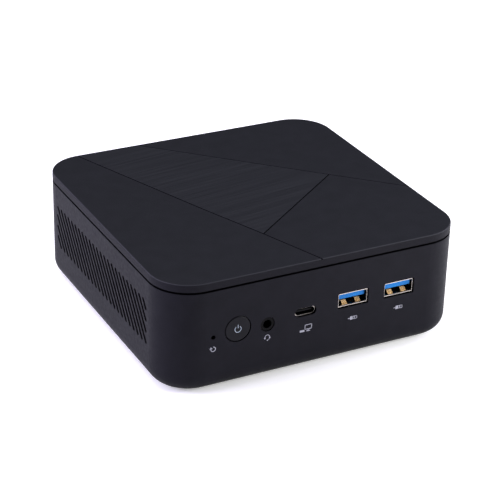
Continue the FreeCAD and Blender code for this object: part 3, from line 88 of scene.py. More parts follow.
def add_camera():
    """The camera, from its direction, its roll and its place along its own axes."""
    az, el = CAMERA_AZIMUTH, CAMERA_ELEVATION
    back = Vector((math.sin(az) * math.cos(el), -math.cos(az) * math.cos(el), math.sin(el)))
    right = Vector((math.cos(az), math.sin(az), 0))
    up = back.cross(right)
    side = right * math.cos(CAMERA_ROLL) + up * math.sin(CAMERA_ROLL)
    rise = up * math.cos(CAMERA_ROLL) - right * math.sin(CAMERA_ROLL)
    place = back * CAMERA_DISTANCE + side * CAMERA_SIDE + rise * CAMERA_RISE
    data = bpy.data.cameras.new("camera")
    data.lens = CAMERA_LENS
    data.sensor_width = CAMERA_SENSOR
    data.clip_start = CAMERA_NEAR
    camera = bpy.data.objects.new("camera", data)
    SCENE.collection.objects.link(camera)
    turn = Matrix((side, rise, back)).transposed().to_4x4()
    camera.matrix_world = Matrix.Translation(place) @ turn
    SCENE.camera = camera


# ---- materials ----
# Depths of bumps.
POLISH = 0.002 * MM
WEAR = 0.004 * MM
FINE_GRAIN = 0.01 * MM
GRAIN = 0.02 * MM
COARSE_GRAIN = 0.06 * MM

# Circuit boards. Pads and holes reach this far from their middles, in widths of a cell.
TRACK_TONES = ((0.006, 0.052, 0.028), (0.009, 0.066, 0.036))
TRACK_GAP_TONE = (0.003, 0.026, 0.015)
TRACK_GAP = 0.16 * MM
TRACK_LENGTH = 9.0 * MM
TRACK_PITCH = 0.55 * MM
MASK_TONE = (0.0035, 0.030, 0.017)
PAD_TONE = (0.42, 0.33, 0.15)
# Painted shade inside the holes.
HOLE_SHADE_TONE = (0.004, 0.004, 0.004)
PAD_REACH = 0.14
HOLE_REACH = 0.05


class Tree:
    """A node material with short ways to add what most surfaces need."""

    def __init__(self, name):
        self.material = bpy.data.materials.new(name)
        self.material.use_nodes = True
        self.nodes = self.material.node_tree.nodes
        self.links = self.material.node_tree.links
        self.shader = self.nodes["Principled BSDF"]
        self.place = self.nodes.new("ShaderNodeTexCoord").outputs["Object"]

    def set(self, **values):
        for name, value in values.items():
            self.shader.inputs[name.replace("_", " ")].default_value = value

    def link(self, output, socket):
        self.links.new(output, self.shader.inputs[socket])

    def scaled(self, x, y, z, turn=0.0):
        """Object coordinates turned about Z and stretched, for grain with a direction."""
        node = self.nodes.new("ShaderNodeMapping")
        node.vector_type = "TEXTURE"
        node.inputs["Rotation"].default_value = (0, 0, turn)
        node.inputs["Scale"].default_value = (1 / x, 1 / y, 1 / z)
        self.links.new(self.place, node.inputs["Vector"])
        return node.outputs["Vector"]

    def noise(self, scale, detail=2.0, vector=None, roughness=0.5):
        node = self.nodes.new("ShaderNodeTexNoise")
        node.inputs["Scale"].default_value = scale
        node.inputs["Detail"].default_value = detail
        node.inputs["Roughness"].default_value = roughness
        self.links.new(vector or self.place, node.inputs["Vector"])
        return node.outputs["Fac"]

    def cells(self, scale):
        """The distance to the nearest of many scattered points."""
        node = self.nodes.new("ShaderNodeTexVoronoi")
        node.inputs["Scale"].default_value = scale
        self.links.new(self.place, node.inputs["Vector"])
        return node.outputs["Distance"]

    def tracks(self, vector):
        """Rows of narrow tracks with staggered ends."""
        node = self.nodes.new("ShaderNodeTexBrick")
        for socket, tone in zip(("Color1", "Color2", "Mortar"), (*TRACK_TONES, TRACK_GAP_TONE)):
            node.inputs[socket].default_value = (*tone, 1.0)
        node.inputs["Scale"].default_value = 1.0
        node.inputs["Mortar Size"].default_value = TRACK_GAP
        node.inputs["Brick Width"].default_value = TRACK_LENGTH
        node.inputs["Row Height"].default_value = TRACK_PITCH
        self.links.new(vector, node.inputs["Vector"])
        return node.outputs["Color"]

    def ramp(self, value, stops):
        """A colour ramp; each stop is a position and a colour."""
        node = self.nodes.new("ShaderNodeValToRGB")
        band = node.color_ramp
        while len(band.elements) < len(stops):
            band.elements.new(0.5)
        for element, (position, colour) in zip(band.elements, stops):
            element.position = position
            element.color = (*colour, 1.0)
        self.links.new(value, node.inputs["Fac"])
        return node.outputs["Color"]

    def two_tone(self, value, dark, light, start=0.3, end=0.7):
        """A ramp from a dark to a light tone."""
        return self.ramp(value, [(start, dark), (end, light)])

    def spread(self, value, low, high, from_low=0.3, from_high=0.7):
        """A number remapped to a new range."""
        node = self.nodes.new("ShaderNodeMapRange")
        node.inputs["From Min"].default_value = from_low
        node.inputs["From Max"].default_value = from_high
        node.inputs["To Min"].default_value = low
        node.inputs["To Max"].default_value = high
        self.links.new(value, node.inputs["Value"])
        return node.outputs["Result"]

    def maths(self, operation, first, second):
        node = self.nodes.new("ShaderNodeMath")
        node.operation = operation
        for socket, value in zip(node.inputs, (first, second)):
            if isinstance(value, (int, float)):
                socket.default_value = value
            else:
                self.links.new(value, socket)
        return node.outputs["Value"]

    def mix(self, factor, first, second):
        """One colour where the factor is 0, the other where it is 1."""
        node = self.nodes.new("ShaderNodeMix")
        node.data_type = "RGBA"
        self.links.new(factor, node.inputs[0])
        for socket, value in ((node.inputs[6], first), (node.inputs[7], second)):
            if isinstance(value, tuple):
                socket.default_value = (*value, 1.0)
            else:
                self.links.new(value, socket)
        return node.outputs[2]

    def axes(self):
        node = self.nodes.new("ShaderNodeSeparateXYZ")
        self.links.new(self.place, node.inputs["Vector"])
        return node.outputs

    def upness(self):
        """How far a face looks up, from 0 for an upright one to 1 for a level one."""
        node = self.nodes.new("ShaderNodeTexCoord")
        split = self.nodes.new("ShaderNodeSeparateXYZ")
        self.links.new(node.outputs["Normal"], split.inputs["Vector"])
        return split.outputs["Z"]

    def bump(self, height, distance):
        node = self.nodes.new("ShaderNodeBump")
        node.inputs["Strength"].default_value = 1.0
        node.inputs["Distance"].default_value = distance
        self.links.new(height, node.inputs["Height"])
        return node.outputs["Normal"]


# The lid. The corner's radius and these points of its engraved lines, in millimetres,
# repeat values of the CAD. The slight bend in the long line is left out.
HAIR_TURN = math.radians(8.0)
PLAIN_TONES = ((0.0112, 0.0118, 0.0142), (0.0130, 0.0136, 0.0164))
HAIR_TONES = ((0.0110, 0.0117, 0.0140), (0.0188, 0.0197, 0.0229))
# Painted shade on the lid's upright side band.
BAND_SHADE_TONE = (0.0085, 0.0083, 0.0116)
# A painted highlight on the lid's rounded rim.
RIM_HIGHLIGHT_TONE = (0.030, 0.030, 0.036)
# Painted shade in the lid's engraved grooves.
GROOVE_SHADE_TONE = (0.0016, 0.0016, 0.0020)
BLACK = (0, 0, 0)
WHITE = (1, 1, 1)
LINE_POINTS = {
    "long": ((-48.6, 62.6), (-10.8, -35.6)),
    "cross": ((-20.4, 62.6), (40.0, 2.8)),
    "short": ((40.0, 2.8), (-10.8, -35.6)),
}
LINE_FLOOR = 0.30 * MM
LINE_LIP = 0.06 * MM
CORNER_RADIUS = 16.25 * MM

# The case. Painted shade darkens it inwards from its skin, in its openings, and downwards over its lower
# edge, on its underside.
SKIN = 0.1 * MM
SKIN_FADE = 0.4 * MM
INNER_SHADE = 0.12
UNDER_SHADE = 0.45
UNDER_START = 1.5 * MM
UNDER_END = 6.0 * MM
SEAM_FADE = 0.5 * MM

# Port shells. The painted shade inside starts and is full at these depths behind the mouth, and
# fades over this much of a wall, counted outwards from its inner face.
MOUTH_START = 0.15 * MM
MOUTH_END = 0.9 * MM
WALL_START = 0.20 * MM
WALL_END = 0.08 * MM
# The tone of the painted shade inside the shells.
SHELL_SHADE_TONE = (0.030, 0.028, 0.026)

# How far past a card's laminate its packages start, in millimetres.
CARD_MARGIN = 0.02


def depth_in_case(tree):
    """0 on the upright outside of the case, 1 a little further in."""
    axes = tree.axes()
    reach = []
    for axis, half in (("X", CASE_HIGH.x), ("Y", CASE_HIGH.y)):
        past = tree.maths("SUBTRACT", tree.maths("ABSOLUTE", axes[axis], 0.0), half - CORNER_RADIUS)
        past = tree.maths("MAXIMUM", past, 0.0)
        reach.append(tree.maths("MULTIPLY", past, past))
    distance = tree.maths("SQRT", tree.maths("ADD", *reach), 0.0)
    return tree.spread(distance, 1.0, 0.0, CORNER_RADIUS - SKIN_FADE, CORNER_RADIUS - SKIN)


def moulded(name, dark, light, roughness, grain=2200.0, depth=GRAIN, specular=0.5, painted_shade=False):
    """Moulded plastic: faint mottling, uneven gloss and a spark-eroded grain.

    With painted shade, faces further in than the outside of the case are painted darker, as
    shade inside its openings, and so is the lowest part of the outside, as shade underneath.
    """
    tree = Tree(name)
    tree.set(Specular_IOR_Level=specular)
    colour = tree.two_tone(tree.noise(140.0, 4.0), dark, light)
    if painted_shade:
        # Painted shade: darker towards the bottom and on the faces inside the case's openings.
        height = tree.axes()["Z"]
        under = tuple(value * (1 - UNDER_SHADE) for value in dark)
        low = tree.spread(height, 1.0, 0.0, UNDER_START, UNDER_END)
        colour = tree.mix(low, colour, under)
        inner = tuple(value * INNER_SHADE for value in dark)
        above_seam = tree.spread(height, 0.0, 1.0, CASE_LOW.z - SEAM_FADE, CASE_LOW.z)
        colour = tree.mix(tree.maths("MULTIPLY", depth_in_case(tree), above_seam), colour, inner)
    tree.link(colour, "Base Color")
    tree.link(tree.spread(tree.noise(grain * 0.3), roughness - 0.06, roughness + 0.06), "Roughness")
    tree.link(tree.bump(tree.noise(grain, 3.0, roughness=0.7), depth), "Normal")
    return tree.material


def plated(name, dark, light, roughness):
    """Plated or rolled metal with a drawn grain and slight staining."""
    tree = Tree(name)
    tree.set(Metallic=1.0)
    stain = tree.noise(700.0, 3.0, roughness=0.6)
    tree.link(tree.two_tone(stain, dark, light, 0.25, 0.75), "Base Color")
    grain = tree.noise(1.0, 2.0, tree.scaled(900.0, 9000.0, 9000.0))
    tree.link(tree.spread(grain, roughness - 0.04, roughness + 0.06), "Roughness")
    tree.link(tree.bump(grain, POLISH), "Normal")
    return tree.material


def side_of_line(tree, axes, start, end):
    """1 on the right of a line on the top, 0 on its left, sharp at the line."""
    run = Vector((end[0] - start[0], end[1] - start[1])).normalized()
    normal = Vector((run.y, -run.x))
    across_x = tree.maths("MULTIPLY", axes["X"], normal.x)
    across_y = tree.maths("MULTIPLY", axes["Y"], normal.y)
    offset = normal.dot(Vector(start)) * MM
    distance = tree.maths("SUBTRACT", tree.maths("ADD", across_x, across_y), offset)
    return tree.maths("GREATER_THAN", distance, 0.0)


def lid_material():
    """Matt lid: a brushed middle field, a side band painted darker as painted shade, a painted highlight
    on the rim, engraved lines painted dark as painted shade.
    """
    tree = Tree("lid_plastic")
    tree.set(Specular_IOR_Level=0.06)
    axes = tree.axes()
    right_of_long = side_of_line(tree, axes, *reversed(LINE_POINTS["long"]))
    under_cross = side_of_line(tree, axes, *LINE_POINTS["cross"])
    beyond_short = side_of_line(tree, axes, *LINE_POINTS["short"])
    field = tree.maths("MULTIPLY", tree.maths("MULTIPLY", right_of_long, under_cross), beyond_short)
    hair = tree.noise(1.0, 3.0, tree.scaled(28.0, 2600.0, 70.0, HAIR_TURN))
    grit = tree.noise(2600.0, 3.0, roughness=0.7)
    mottled = tree.two_tone(tree.noise(150.0, 4.0), *PLAIN_TONES)
    brushed = tree.two_tone(hair, *HAIR_TONES)
    colour = tree.mix(field, mottled, brushed)
    up = tree.upness()
    # Painted shade: upright faces of the side band are painted darker than the top.
    band = tree.spread(up, 1.0, 0.0, 0.10, 0.25)
    colour = tree.mix(band, colour, BAND_SHADE_TONE)
    # Painted highlight along the rounded rim between the top and the band.
    rim_highlight = tree.ramp(up, [(0.30, BLACK), (0.55, WHITE), (0.90, WHITE), (0.98, BLACK)])
    colour = tree.mix(rim_highlight, colour, RIM_HIGHLIGHT_TONE)
    # Painted shade: the floors and walls of the engraved lines are painted near-black.
    inside = depth_in_case(tree)
    sunk = tree.spread(axes["Z"], 1.0, 0.0, LID_TOP - LINE_FLOOR, LID_TOP - LINE_LIP)
    colour = tree.mix(tree.maths("MULTIPLY", inside, sunk), colour, GROOVE_SHADE_TONE)
    tree.link(colour, "Base Color")
    rough_plain = tree.spread(grit, 0.50, 0.62)
    rough_hair = tree.spread(hair, 0.45, 0.56)
    step = tree.maths("MULTIPLY", field, tree.maths("SUBTRACT", rough_hair, rough_plain))
    tree.link(tree.maths("ADD", rough_plain, step), "Roughness")
    plain_height = tree.maths("MULTIPLY", grit, tree.maths("SUBTRACT", 1.0, field))
    hair_height = tree.maths("MULTIPLY", hair, field)
    tree.link(tree.bump(tree.maths("ADD", plain_height, hair_height), GRAIN), "Normal")
    return tree.material


def shell_material(name, box, tones, walls, mouth, inner=SHELL_SHADE_TONE):
    """Plated port shells: bright at the mouth, painted darker further in as painted shade inside the
    opening.

    Walls are the thickness of the sides, the floor and the roof in millimetres; sides of 0
    leave the painted shade as wide as the node. The mouth is -1 at the front and 1 at the rear.
    """
    low, high = box
    side, floor, roof = (value * MM for value in walls)
    tree = Tree(name)
    tree.set(Metallic=1.0)
    steel = tree.two_tone(tree.noise(700.0, 3.0, roughness=0.6), *tones, 0.25, 0.75)
    # Painted shade: past the mouth and inside the walls the steel is painted dark.
    axes = tree.axes()
    if mouth < 0:
        inside = tree.spread(axes["Y"], 0.0, 1.0, low.y + MOUTH_START, low.y + MOUTH_END)
    else:
        inside = tree.spread(axes["Y"], 1.0, 0.0, high.y - MOUTH_END, high.y - MOUTH_START)
    limits = [("Z", low.z + floor, 1), ("Z", high.z - roof, -1)]
    if side:
        limits += [("X", low.x + side, 1), ("X", high.x - side, -1)]
    for axis, place, way in limits:
        ends = sorted((place - way * WALL_START, place - way * WALL_END))
        start, end = (0.0, 1.0) if way > 0 else (1.0, 0.0)
        inside = tree.maths("MULTIPLY", inside, tree.spread(axes[axis], start, end, *ends))
    tree.link(tree.mix(inside, steel, inner), "Base Color")
    grain = tree.noise(1.0, 2.0, tree.scaled(400.0, 4000.0, 4000.0))
    tree.link(tree.spread(grain, 0.24, 0.40), "Roughness")
    tree.link(tree.bump(grain, WEAR), "Normal")
    return tree.material


def finger_material():
    """Gold-plated leaf springs, worn in patches by plugs."""
    tree = Tree("finger_gold")
    tree.set(Metallic=0.65)
    wear = tree.noise(1500.0, 3.0)
    tree.link(tree.two_tone(wear, (0.94, 0.56, 0.23), (1.0, 0.66, 0.31)), "Base Color")
    tree.link(tree.spread(wear, 0.20, 0.34), "Roughness")
    tree.link(tree.bump(tree.noise(5000.0), WEAR), "Normal")
    return tree.material


def laminate(tree):
    """The colour of green solder mask over runs of copper track, with plated round pads whose middles are
    painted near-black as painted shade inside their holes.
    """
    along = tree.tracks(tree.place)
    across = tree.tracks(tree.scaled(1.0, 1.0, 1.0, math.radians(90)))
    field = tree.maths("GREATER_THAN", tree.noise(55.0, 0.0), 0.5)
    tracks = tree.mix(field, along, across)
    bare = tree.maths("GREATER_THAN", tree.noise(38.0, 1.0), 0.42)
    mask = tree.mix(bare, MASK_TONE, tracks)
    vias = tree.cells(520.0)
    colour = tree.mix(tree.maths("LESS_THAN", vias, PAD_REACH), mask, PAD_TONE)
    # Painted shade: the middle of each pad, where the hole is, is near-black.
    return tree.mix(tree.maths("LESS_THAN", vias, HOLE_REACH), colour, HOLE_SHADE_TONE)


def board_material():
    """A bare circuit board."""
    tree = Tree("circuit_board")
    tree.link(laminate(tree), "Base Color")
    tree.link(tree.spread(tree.noise(900.0), 0.28, 0.42), "Roughness")
    tree.link(tree.bump(tree.noise(1800.0, 3.0), FINE_GRAIN), "Normal")
    return tree.material


def card_material(node, low, high, dark, light, metal=False):
    """A plug-in card: laminate between two heights in millimetres, packages beyond them."""
    tree = Tree(node + "_card")
    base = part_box(node)[0].z
    height = tree.axes()["Z"]
    over = tree.maths("GREATER_THAN", height, base + (high + CARD_MARGIN) * MM)
    under = tree.maths("LESS_THAN", height, base + (low - CARD_MARGIN) * MM)
    beyond = tree.maths("ADD", over, under)
    package = tree.two_tone(tree.noise(900.0, 3.0), dark, light)
    tree.link(tree.mix(beyond, laminate(tree), package), "Base Color")
    if metal:
        tree.link(beyond, "Metallic")
    tree.link(tree.spread(tree.noise(700.0), 0.30, 0.44), "Roughness")
    tree.link(tree.bump(tree.noise(2500.0, 3.0), FINE_GRAIN), "Normal")
    return tree.material


def printed_material():
    """Pale grey screen print, slightly uneven."""
    tree = Tree("printed_ink")
    print_tone = tree.two_tone(tree.noise(4000.0, 3.0), (0.23, 0.23, 0.28), (0.34, 0.34, 0.40), 0.25, 0.75)
    tree.link(print_tone, "Base Color")
    tree.set(Roughness=0.55)
    tree.link(tree.bump(tree.noise(6000.0), FINE_GRAIN), "Normal")
    return tree.material


def lit_material():
    """The translucent symbol of the power button, faintly lit from behind."""
    tree = Tree("lit_symbol")
    glow = tree.two_tone(tree.noise(900.0), (0.24, 0.29, 0.36), (0.34, 0.40, 0.48))
    tree.link(glow, "Base Color")
    tree.link(glow, "Emission Color")
    tree.set(Roughness=0.4, Emission_Strength=0.06)
    return tree.material


def floor_material():
    """A pale, nearly even studio surface that glows a little."""
    tree = Tree("floor")
    tree.link(tree.two_tone(tree.noise(12.0), (0.90, 0.90, 0.90), (0.93, 0.93, 0.93)), "Base Color")
    tree.set(Roughness=0.9, Specular_IOR_Level=0.1)
    tree.set(Emission_Color=(1, 1, 1, 1), Emission_Strength=0.32)
    return tree.material


EPOXY = ((0.012, 0.012, 0.013), (0.022, 0.022, 0.024))
PORT_STEEL = ((0.42, 0.39, 0.36), (0.56, 0.52, 0.48))
MATERIALS = {
    # The case plastic carries painted shade inside its openings and on its underside.
    "case_plastic": moulded(
        "case_plastic", (0.0074, 0.0073, 0.0103), (0.0090, 0.0088, 0.0124), 0.50,
        specular=0.055, painted_shade=True),
    "lid_plastic": lid_material(),
    "button_plastic": moulded(
        "button_plastic", (0.0056, 0.0056, 0.0076), (0.0072, 0.0072, 0.0096), 0.40,
        3000.0, FINE_GRAIN, 0.09),
    "clear_plastic": moulded("clear_plastic", (0.55, 0.58, 0.62), (0.62, 0.65, 0.70), 0.25),
    "rubber": moulded(
        "rubber", (0.010, 0.010, 0.010), (0.020, 0.020, 0.020), 0.8, 1500.0, COARSE_GRAIN, 0.3),
    "steel_screw": plated("steel_screw", (0.30, 0.30, 0.31), (0.42, 0.42, 0.43), 0.32),
    "port_steel": plated("port_steel", *PORT_STEEL, 0.32),
    "spring_gold": plated("spring_gold", (0.90, 0.56, 0.24), (1.0, 0.76, 0.44), 0.22),
    "usb_blue": moulded(
        "usb_blue", (0.002, 0.125, 0.40), (0.004, 0.165, 0.50), 0.45, 1800.0, FINE_GRAIN, 0.2),
    "black_moulding": moulded(
        "black_moulding", (0.0024, 0.0024, 0.0029), (0.0040, 0.0040, 0.0047), 0.34, specular=0.07),
    "white_moulding": moulded("white_moulding", (0.60, 0.60, 0.58), (0.72, 0.72, 0.70), 0.4),
    "circuit_board": board_material(),
    "chip_black": moulded("chip_black", *EPOXY, 0.5, 3500.0),
    "capacitor_can": plated("capacitor_can", (0.30, 0.31, 0.33), (0.42, 0.43, 0.45), 0.38),
    "brass_post": plated("brass_post", (0.50, 0.36, 0.14), (0.66, 0.50, 0.22), 0.3),
    "copper": plated("copper", (0.58, 0.27, 0.16), (0.78, 0.42, 0.27), 0.3),
    "antenna_film": moulded("antenna_film", (0.16, 0.08, 0.015), (0.24, 0.13, 0.03), 0.3),
    "lead_jacket": moulded("lead_jacket", (0.010, 0.010, 0.011), (0.020, 0.020, 0.021), 0.5),
}
NODE_MATERIALS = {
    "front_usb_shells": shell_material(
        "front_shell_steel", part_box("front_usb_shells"), ((0.50, 0.45, 0.40), (0.66, 0.60, 0.54)),
        (0.0, 0.3, 0.3), -1),
    "usb_c_shell": shell_material(
        "small_shell_steel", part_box("usb_c_shell"), ((0.26, 0.24, 0.22), (0.38, 0.35, 0.32)),
        (0.0, 0.3, 0.3), -1),
    # The network socket's painted shade takes the dark epoxy tone.
    "network_jack": shell_material(
        "network_shell_steel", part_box("network_jack"), PORT_STEEL,
        (1.95, 1.6, 2.4), 1, EPOXY[0]),
    "front_usb_fingers": finger_material(),
    "fan_top_plate": plated("fan_plate_steel", (0.16, 0.16, 0.17), (0.24, 0.24, 0.25), 0.42),
    "audio_jack": moulded(
        "audio_black", (0.0016, 0.0016, 0.0019), (0.0028, 0.0028, 0.0032), 0.30, specular=0.05),
    "wifi_module": card_material(
        "wifi_module", 0.0, 0.8, (0.17, 0.17, 0.18), (0.24, 0.24, 0.25), metal=True),
    "m2_ssd": card_material("m2_ssd", 1.4, 2.2, *EPOXY),
    "sodimm_module_lower": card_material("sodimm_module_lower", 1.0, 2.2, *EPOXY),
    "sodimm_module_upper": card_material("sodimm_module_upper", 1.0, 2.2, *EPOXY),
}
INK = printed_material()
LIT = lit_material()
CERAMIC = moulded("ceramic", (0.24, 0.17, 0.10), (0.34, 0.25, 0.16), 0.45, 3500.0, FINE_GRAIN)


def dress_nodes():
    """Each CAD node takes its own material, or else that of its slot."""
    for part in frame["record"]["subparts"]:
        mesh = NODES[part["node"]].data
        mesh.materials.clear()
        material = NODE_MATERIALS.get(part["node"], MATERIALS[part["material_slot"]])
        mesh.materials.append(material)


# ---- marks on the front, in millimetres ----
# How far a mark stands proud of the front face, and how deep it is set in. Heights are
# counted from the floor.
MARK_PROUD = 0.05
MARK_SUNK = 0.03
MARK_HEIGHTS = {"reset": 18.85, "headset": 18.60, "plug": 18.45, "screen": 18.65}
POWER_MARK_DROP = 0.1
SCREEN_MARK_SHIFT = 0.5


def arc_outline(radius, stroke, start, end, steps=24):
    """A stroke along an arc, as one closed outline. Angles in degrees."""
    outer = []
    inner = []
    for step in range(steps + 1):
        angle = math.radians(start + (end - start) * step / steps)
        ray = Vector((math.cos(angle), math.sin(angle)))
        outer.append(ray * (radius + stroke / 2))
        inner.append(ray * (radius - stroke / 2))
    return outer + inner[::-1]


def bar_outline(start, end, stroke):
    """A straight stroke between two points."""
    start, end = Vector(start), Vector(end)
    run = (end - start).normalized()
    side = Vector((-run.y, run.x)) * stroke / 2
    return [start - side, end - side, end + side, start + side]


def dot_outline(x, y, radius, sides=12):
    """A small filled disc."""
    turns = [math.tau * side / sides for side in range(sides)]
    return [Vector((x + radius * math.cos(turn), y + radius * math.sin(turn))) for turn in turns]


def frame_outlines(half_w, half_h, stroke):
    """The four strokes of a rectangle."""
    corners = [(-half_w, -half_h), (half_w, -half_h), (half_w, half_h), (-half_w, half_h)]
    bars = []
    for start, end in zip(corners, corners[1:] + corners[:1]):
        run = (Vector(end) - Vector(start)).normalized() * stroke / 2
        bars.append(bar_outline(Vector(start) - run, Vector(end) + run, stroke))
    return bars


def add_piece(name, mesh, body, material):
    """A finished mesh as a piece that rides on a body."""
    bmesh.ops.recalc_face_normals(mesh, faces=mesh.faces)
    data = bpy.data.meshes.new(name)
    mesh.to_mesh(data)
    mesh.free()
    data.materials.append(material)
    piece = bpy.data.objects.new(name, data)
    SCENE.collection.objects.link(piece)
    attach(piece, body)
    return piece


def front_mark(name, x, z, outlines, body, material):
    """Thin prisms on the front face. Outlines are in millimetres about a middle in metres."""
    mesh = bmesh.new()
    near = FRONT_Y - MARK_PROUD * MM
    for outline in outlines:
        corners = [mesh.verts.new((x + p[0] * MM, near, z + p[1] * MM)) for p in outline]
        face = mesh.faces.new(corners)
        grown = bmesh.ops.extrude_face_region(mesh, geom=[face])
        moved = [item for item in grown["geom"] if isinstance(item, bmesh.types.BMVert)]
        bmesh.ops.translate(mesh, verts=moved, vec=(0, (MARK_PROUD + MARK_SUNK) * MM, 0))
    return add_piece(name, mesh, body, material)


def power_mark():
    """A broken ring with an upright stroke."""
    outlines = [arc_outline(1.32, 0.24, 125, 415), bar_outline((0, 0.45), (0, 1.90), 0.24)]
    front_mark("power_mark", BUTTON_MIDDLE.x, BUTTON_MIDDLE.z - POWER_MARK_DROP * MM, outlines,
               "power_button", LIT)


def case_mark(name, kind, x, outlines):
    """A symbol printed on the case below a port."""
    front_mark(name, x, MARK_HEIGHTS[kind] * MM, outlines, "case", INK)


def reset_mark():
    """An open ring that ends in an arrow head."""
    ring = arc_outline(0.95, 0.30, 150, 450)
    head = [(-1.55, 0.10), (-0.15, 0.26), (-1.00, 1.05)]
    case_mark("reset_mark", "reset", RESET_X, [ring, head])


def headset_mark():
    """A headband, two ear pads and a boom with a microphone."""
    outlines = [
        arc_outline(1.02, 0.22, 0, 180),
        bar_outline((-1.02, 0.10), (-1.02, -0.65), 0.46),
        bar_outline((1.02, 0.10), (1.02, -0.65), 0.46),
        bar_outline((0.98, -0.60), (0.25, -1.30), 0.20),
        dot_outline(0.05, -1.35, 0.26),
    ]
    case_mark("headset_mark", "headset", AUDIO_X, outlines)


def plug_mark(name, x):
    """A generic flat plug: a shell with two windows, a wider grip and a cable."""
    outlines = frame_outlines(0.95, 0.56, 0.22)
    outlines = [[Vector((p[0] + 0.95, p[1])) for p in outline] for outline in outlines]
    outlines.append(bar_outline((0.55, 0.20), (1.05, 0.20), 0.26))
    outlines.append(bar_outline((0.55, -0.20), (1.05, -0.20), 0.26))
    outlines.append(bar_outline((-1.10, 0), (-0.12, 0), 1.50))
    outlines.append(bar_outline((-2.05, 0), (-1.05, 0), 0.28))
    case_mark(name, "plug", x, outlines)


def screen_mark():
    """A generic screen on a stand beside a flat bar for the socket."""
    x = USB_C_X + SCREEN_MARK_SHIFT * MM
    screen = [[Vector((p[0] + 0.9, p[1] + 0.45)) for p in outline]
              for outline in frame_outlines(1.45, 0.95, 0.28)]
    outlines = screen + [
        bar_outline((0.9, -0.55), (0.9, -1.15), 0.34),
        bar_outline((0.05, -1.30), (1.75, -1.30), 0.30),
        bar_outline((-2.75, -1.00), (-0.75, -1.00), 0.90),
    ]
    case_mark("screen_mark", "screen", x, outlines)


# ---- fine detail inside and at the rear ----
# Springs of the cooler: outer radius of the coil and radius of the wire.
SPRING_RADIUS = 2.1 * MM
SPRING_WIRE = 0.32 * MM
SPRING_TURNS = 4.5
SPRING_STEPS = 72
SPRING_SIDES = 8

# Contacts of the network socket. The path is in Y and Z from the socket's upper rear edge,
# in millimetres.
CONTACT_COUNT = 8
CONTACT_PITCH = 1.02 * MM
CONTACT_HALF = 0.2 * MM
CONTACT_PATH = ((-2.0, -2.5), (-8.6, -5.2), (-9.4, -5.1), (-10.6, -4.2))

# Lamp windows of the network socket: side, dark tone and light tone of each.
LAMPS = {
    "link": (-1, (0.05, 0.22, 0.06), (0.08, 0.30, 0.09)),
    "traffic": (1, (0.42, 0.20, 0.03), (0.52, 0.27, 0.05)),
}
LAMP_SIZE = (2.6 * MM, 0.5 * MM, 1.7 * MM)
LAMP_BEVEL = 0.15 * MM
LAMP_SIDE = 5.9 * MM
LAMP_RISE = 1.75 * MM

# Small surface-mounted parts. Each kind has the upper end of its share of the draws, its
# size and its body's colour. Sizes, pitch and jitter are in millimetres.
SMD_KINDS = (
    (0.45, (1.0, 0.55, 0.35), "dark"),
    (0.85, (1.3, 0.75, 0.65), "tan"),
    (1.00, (1.7, 1.7, 0.70), "dark"),
)
SMD_SEED = 11
SMD_PITCH = 2.9
SMD_JITTER = 0.7
SMD_SHARE = 0.62
SMD_CLEARANCE = 1.25 * MM
SMD_PROBE = 0.4 * MM
SMD_BEVEL = 0.05 * MM
SMD_END_LENGTH = 0.26 * MM
SMD_END_GROWTH = 1.04
SMD_END_BEVEL = 0.03 * MM

# The softened blocks made so far, one for each size.
BLOCK_PROFILE = 0.6
BLOCKS = {}


def softened_block(size, bevel, segments):
    """A block with softened edges about the origin, made once for each size."""
    key = (size, bevel, segments)
    if key not in BLOCKS:
        mesh = bmesh.new()
        bmesh.ops.create_cube(mesh, size=1.0)
        bmesh.ops.scale(mesh, vec=size, verts=mesh.verts[:])
        bmesh.ops.bevel(mesh, geom=mesh.edges[:], offset=bevel, segments=segments,
                        affect="EDGES", profile=BLOCK_PROFILE)
        BLOCKS[key] = bpy.data.meshes.new("softened_block")
        mesh.to_mesh(BLOCKS[key])
        mesh.free()
    return BLOCKS[key]


def add_block(mesh, middle, size, bevel, turn=0.0, segments=1):
    """A softened block centred on a point and turned about Z."""
    block = softened_block(size, bevel, segments).copy()
    block.transform(Matrix.Translation(middle) @ Matrix.Rotation(turn, 4, "Z"))
    mesh.from_mesh(block)
    bpy.data.meshes.remove(block)


def close_tube(mesh, rings):
    """Faces between rings of vertices, and one over each end."""
    sides = len(rings[0])
    for first, second in zip(rings, rings[1:]):
        for side in range(sides):
            after = (side + 1) % sides
            mesh.faces.new((first[side], first[after], second[after], second[side]))
    mesh.faces.new(rings[0])
    mesh.faces.new(rings[-1])


def add_coil(mesh, middle, radius, low, high):
    """A helical spring wire, closed at both ends."""
    rings = []
    for step in range(SPRING_STEPS + 1):
        part = step / SPRING_STEPS
        angle = part * SPRING_TURNS * math.tau
        out = Vector((math.cos(angle), math.sin(angle), 0))
        centre = middle + out * radius
        centre.z = low + SPRING_WIRE + (high - low - 2 * SPRING_WIRE) * part
        ring = []
        for side in range(SPRING_SIDES):
            turn = math.tau * side / SPRING_SIDES
            spoke = out * math.cos(turn) + Vector((0, 0, math.sin(turn)))
            ring.append(mesh.verts.new(centre + spoke * SPRING_WIRE))
        rings.append(ring)
    close_tube(mesh, rings)


def cooler_coils():
    """Wound springs under the heads of the four cooler screws."""
    low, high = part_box("cooler_springs")
    mesh = bmesh.new()
    for x in (low.x + SPRING_RADIUS, high.x - SPRING_RADIUS):
        for y in (low.y + SPRING_RADIUS, high.y - SPRING_RADIUS):
            add_coil(mesh, Vector((x, y, 0)), SPRING_RADIUS - SPRING_WIRE, low.z, high.z)
    coils = add_piece("cooler_spring_coils", mesh, "case", MATERIALS["steel_screw"])
    for polygon in coils.data.polygons:
        polygon.use_smooth = True
    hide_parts("cooler_springs")


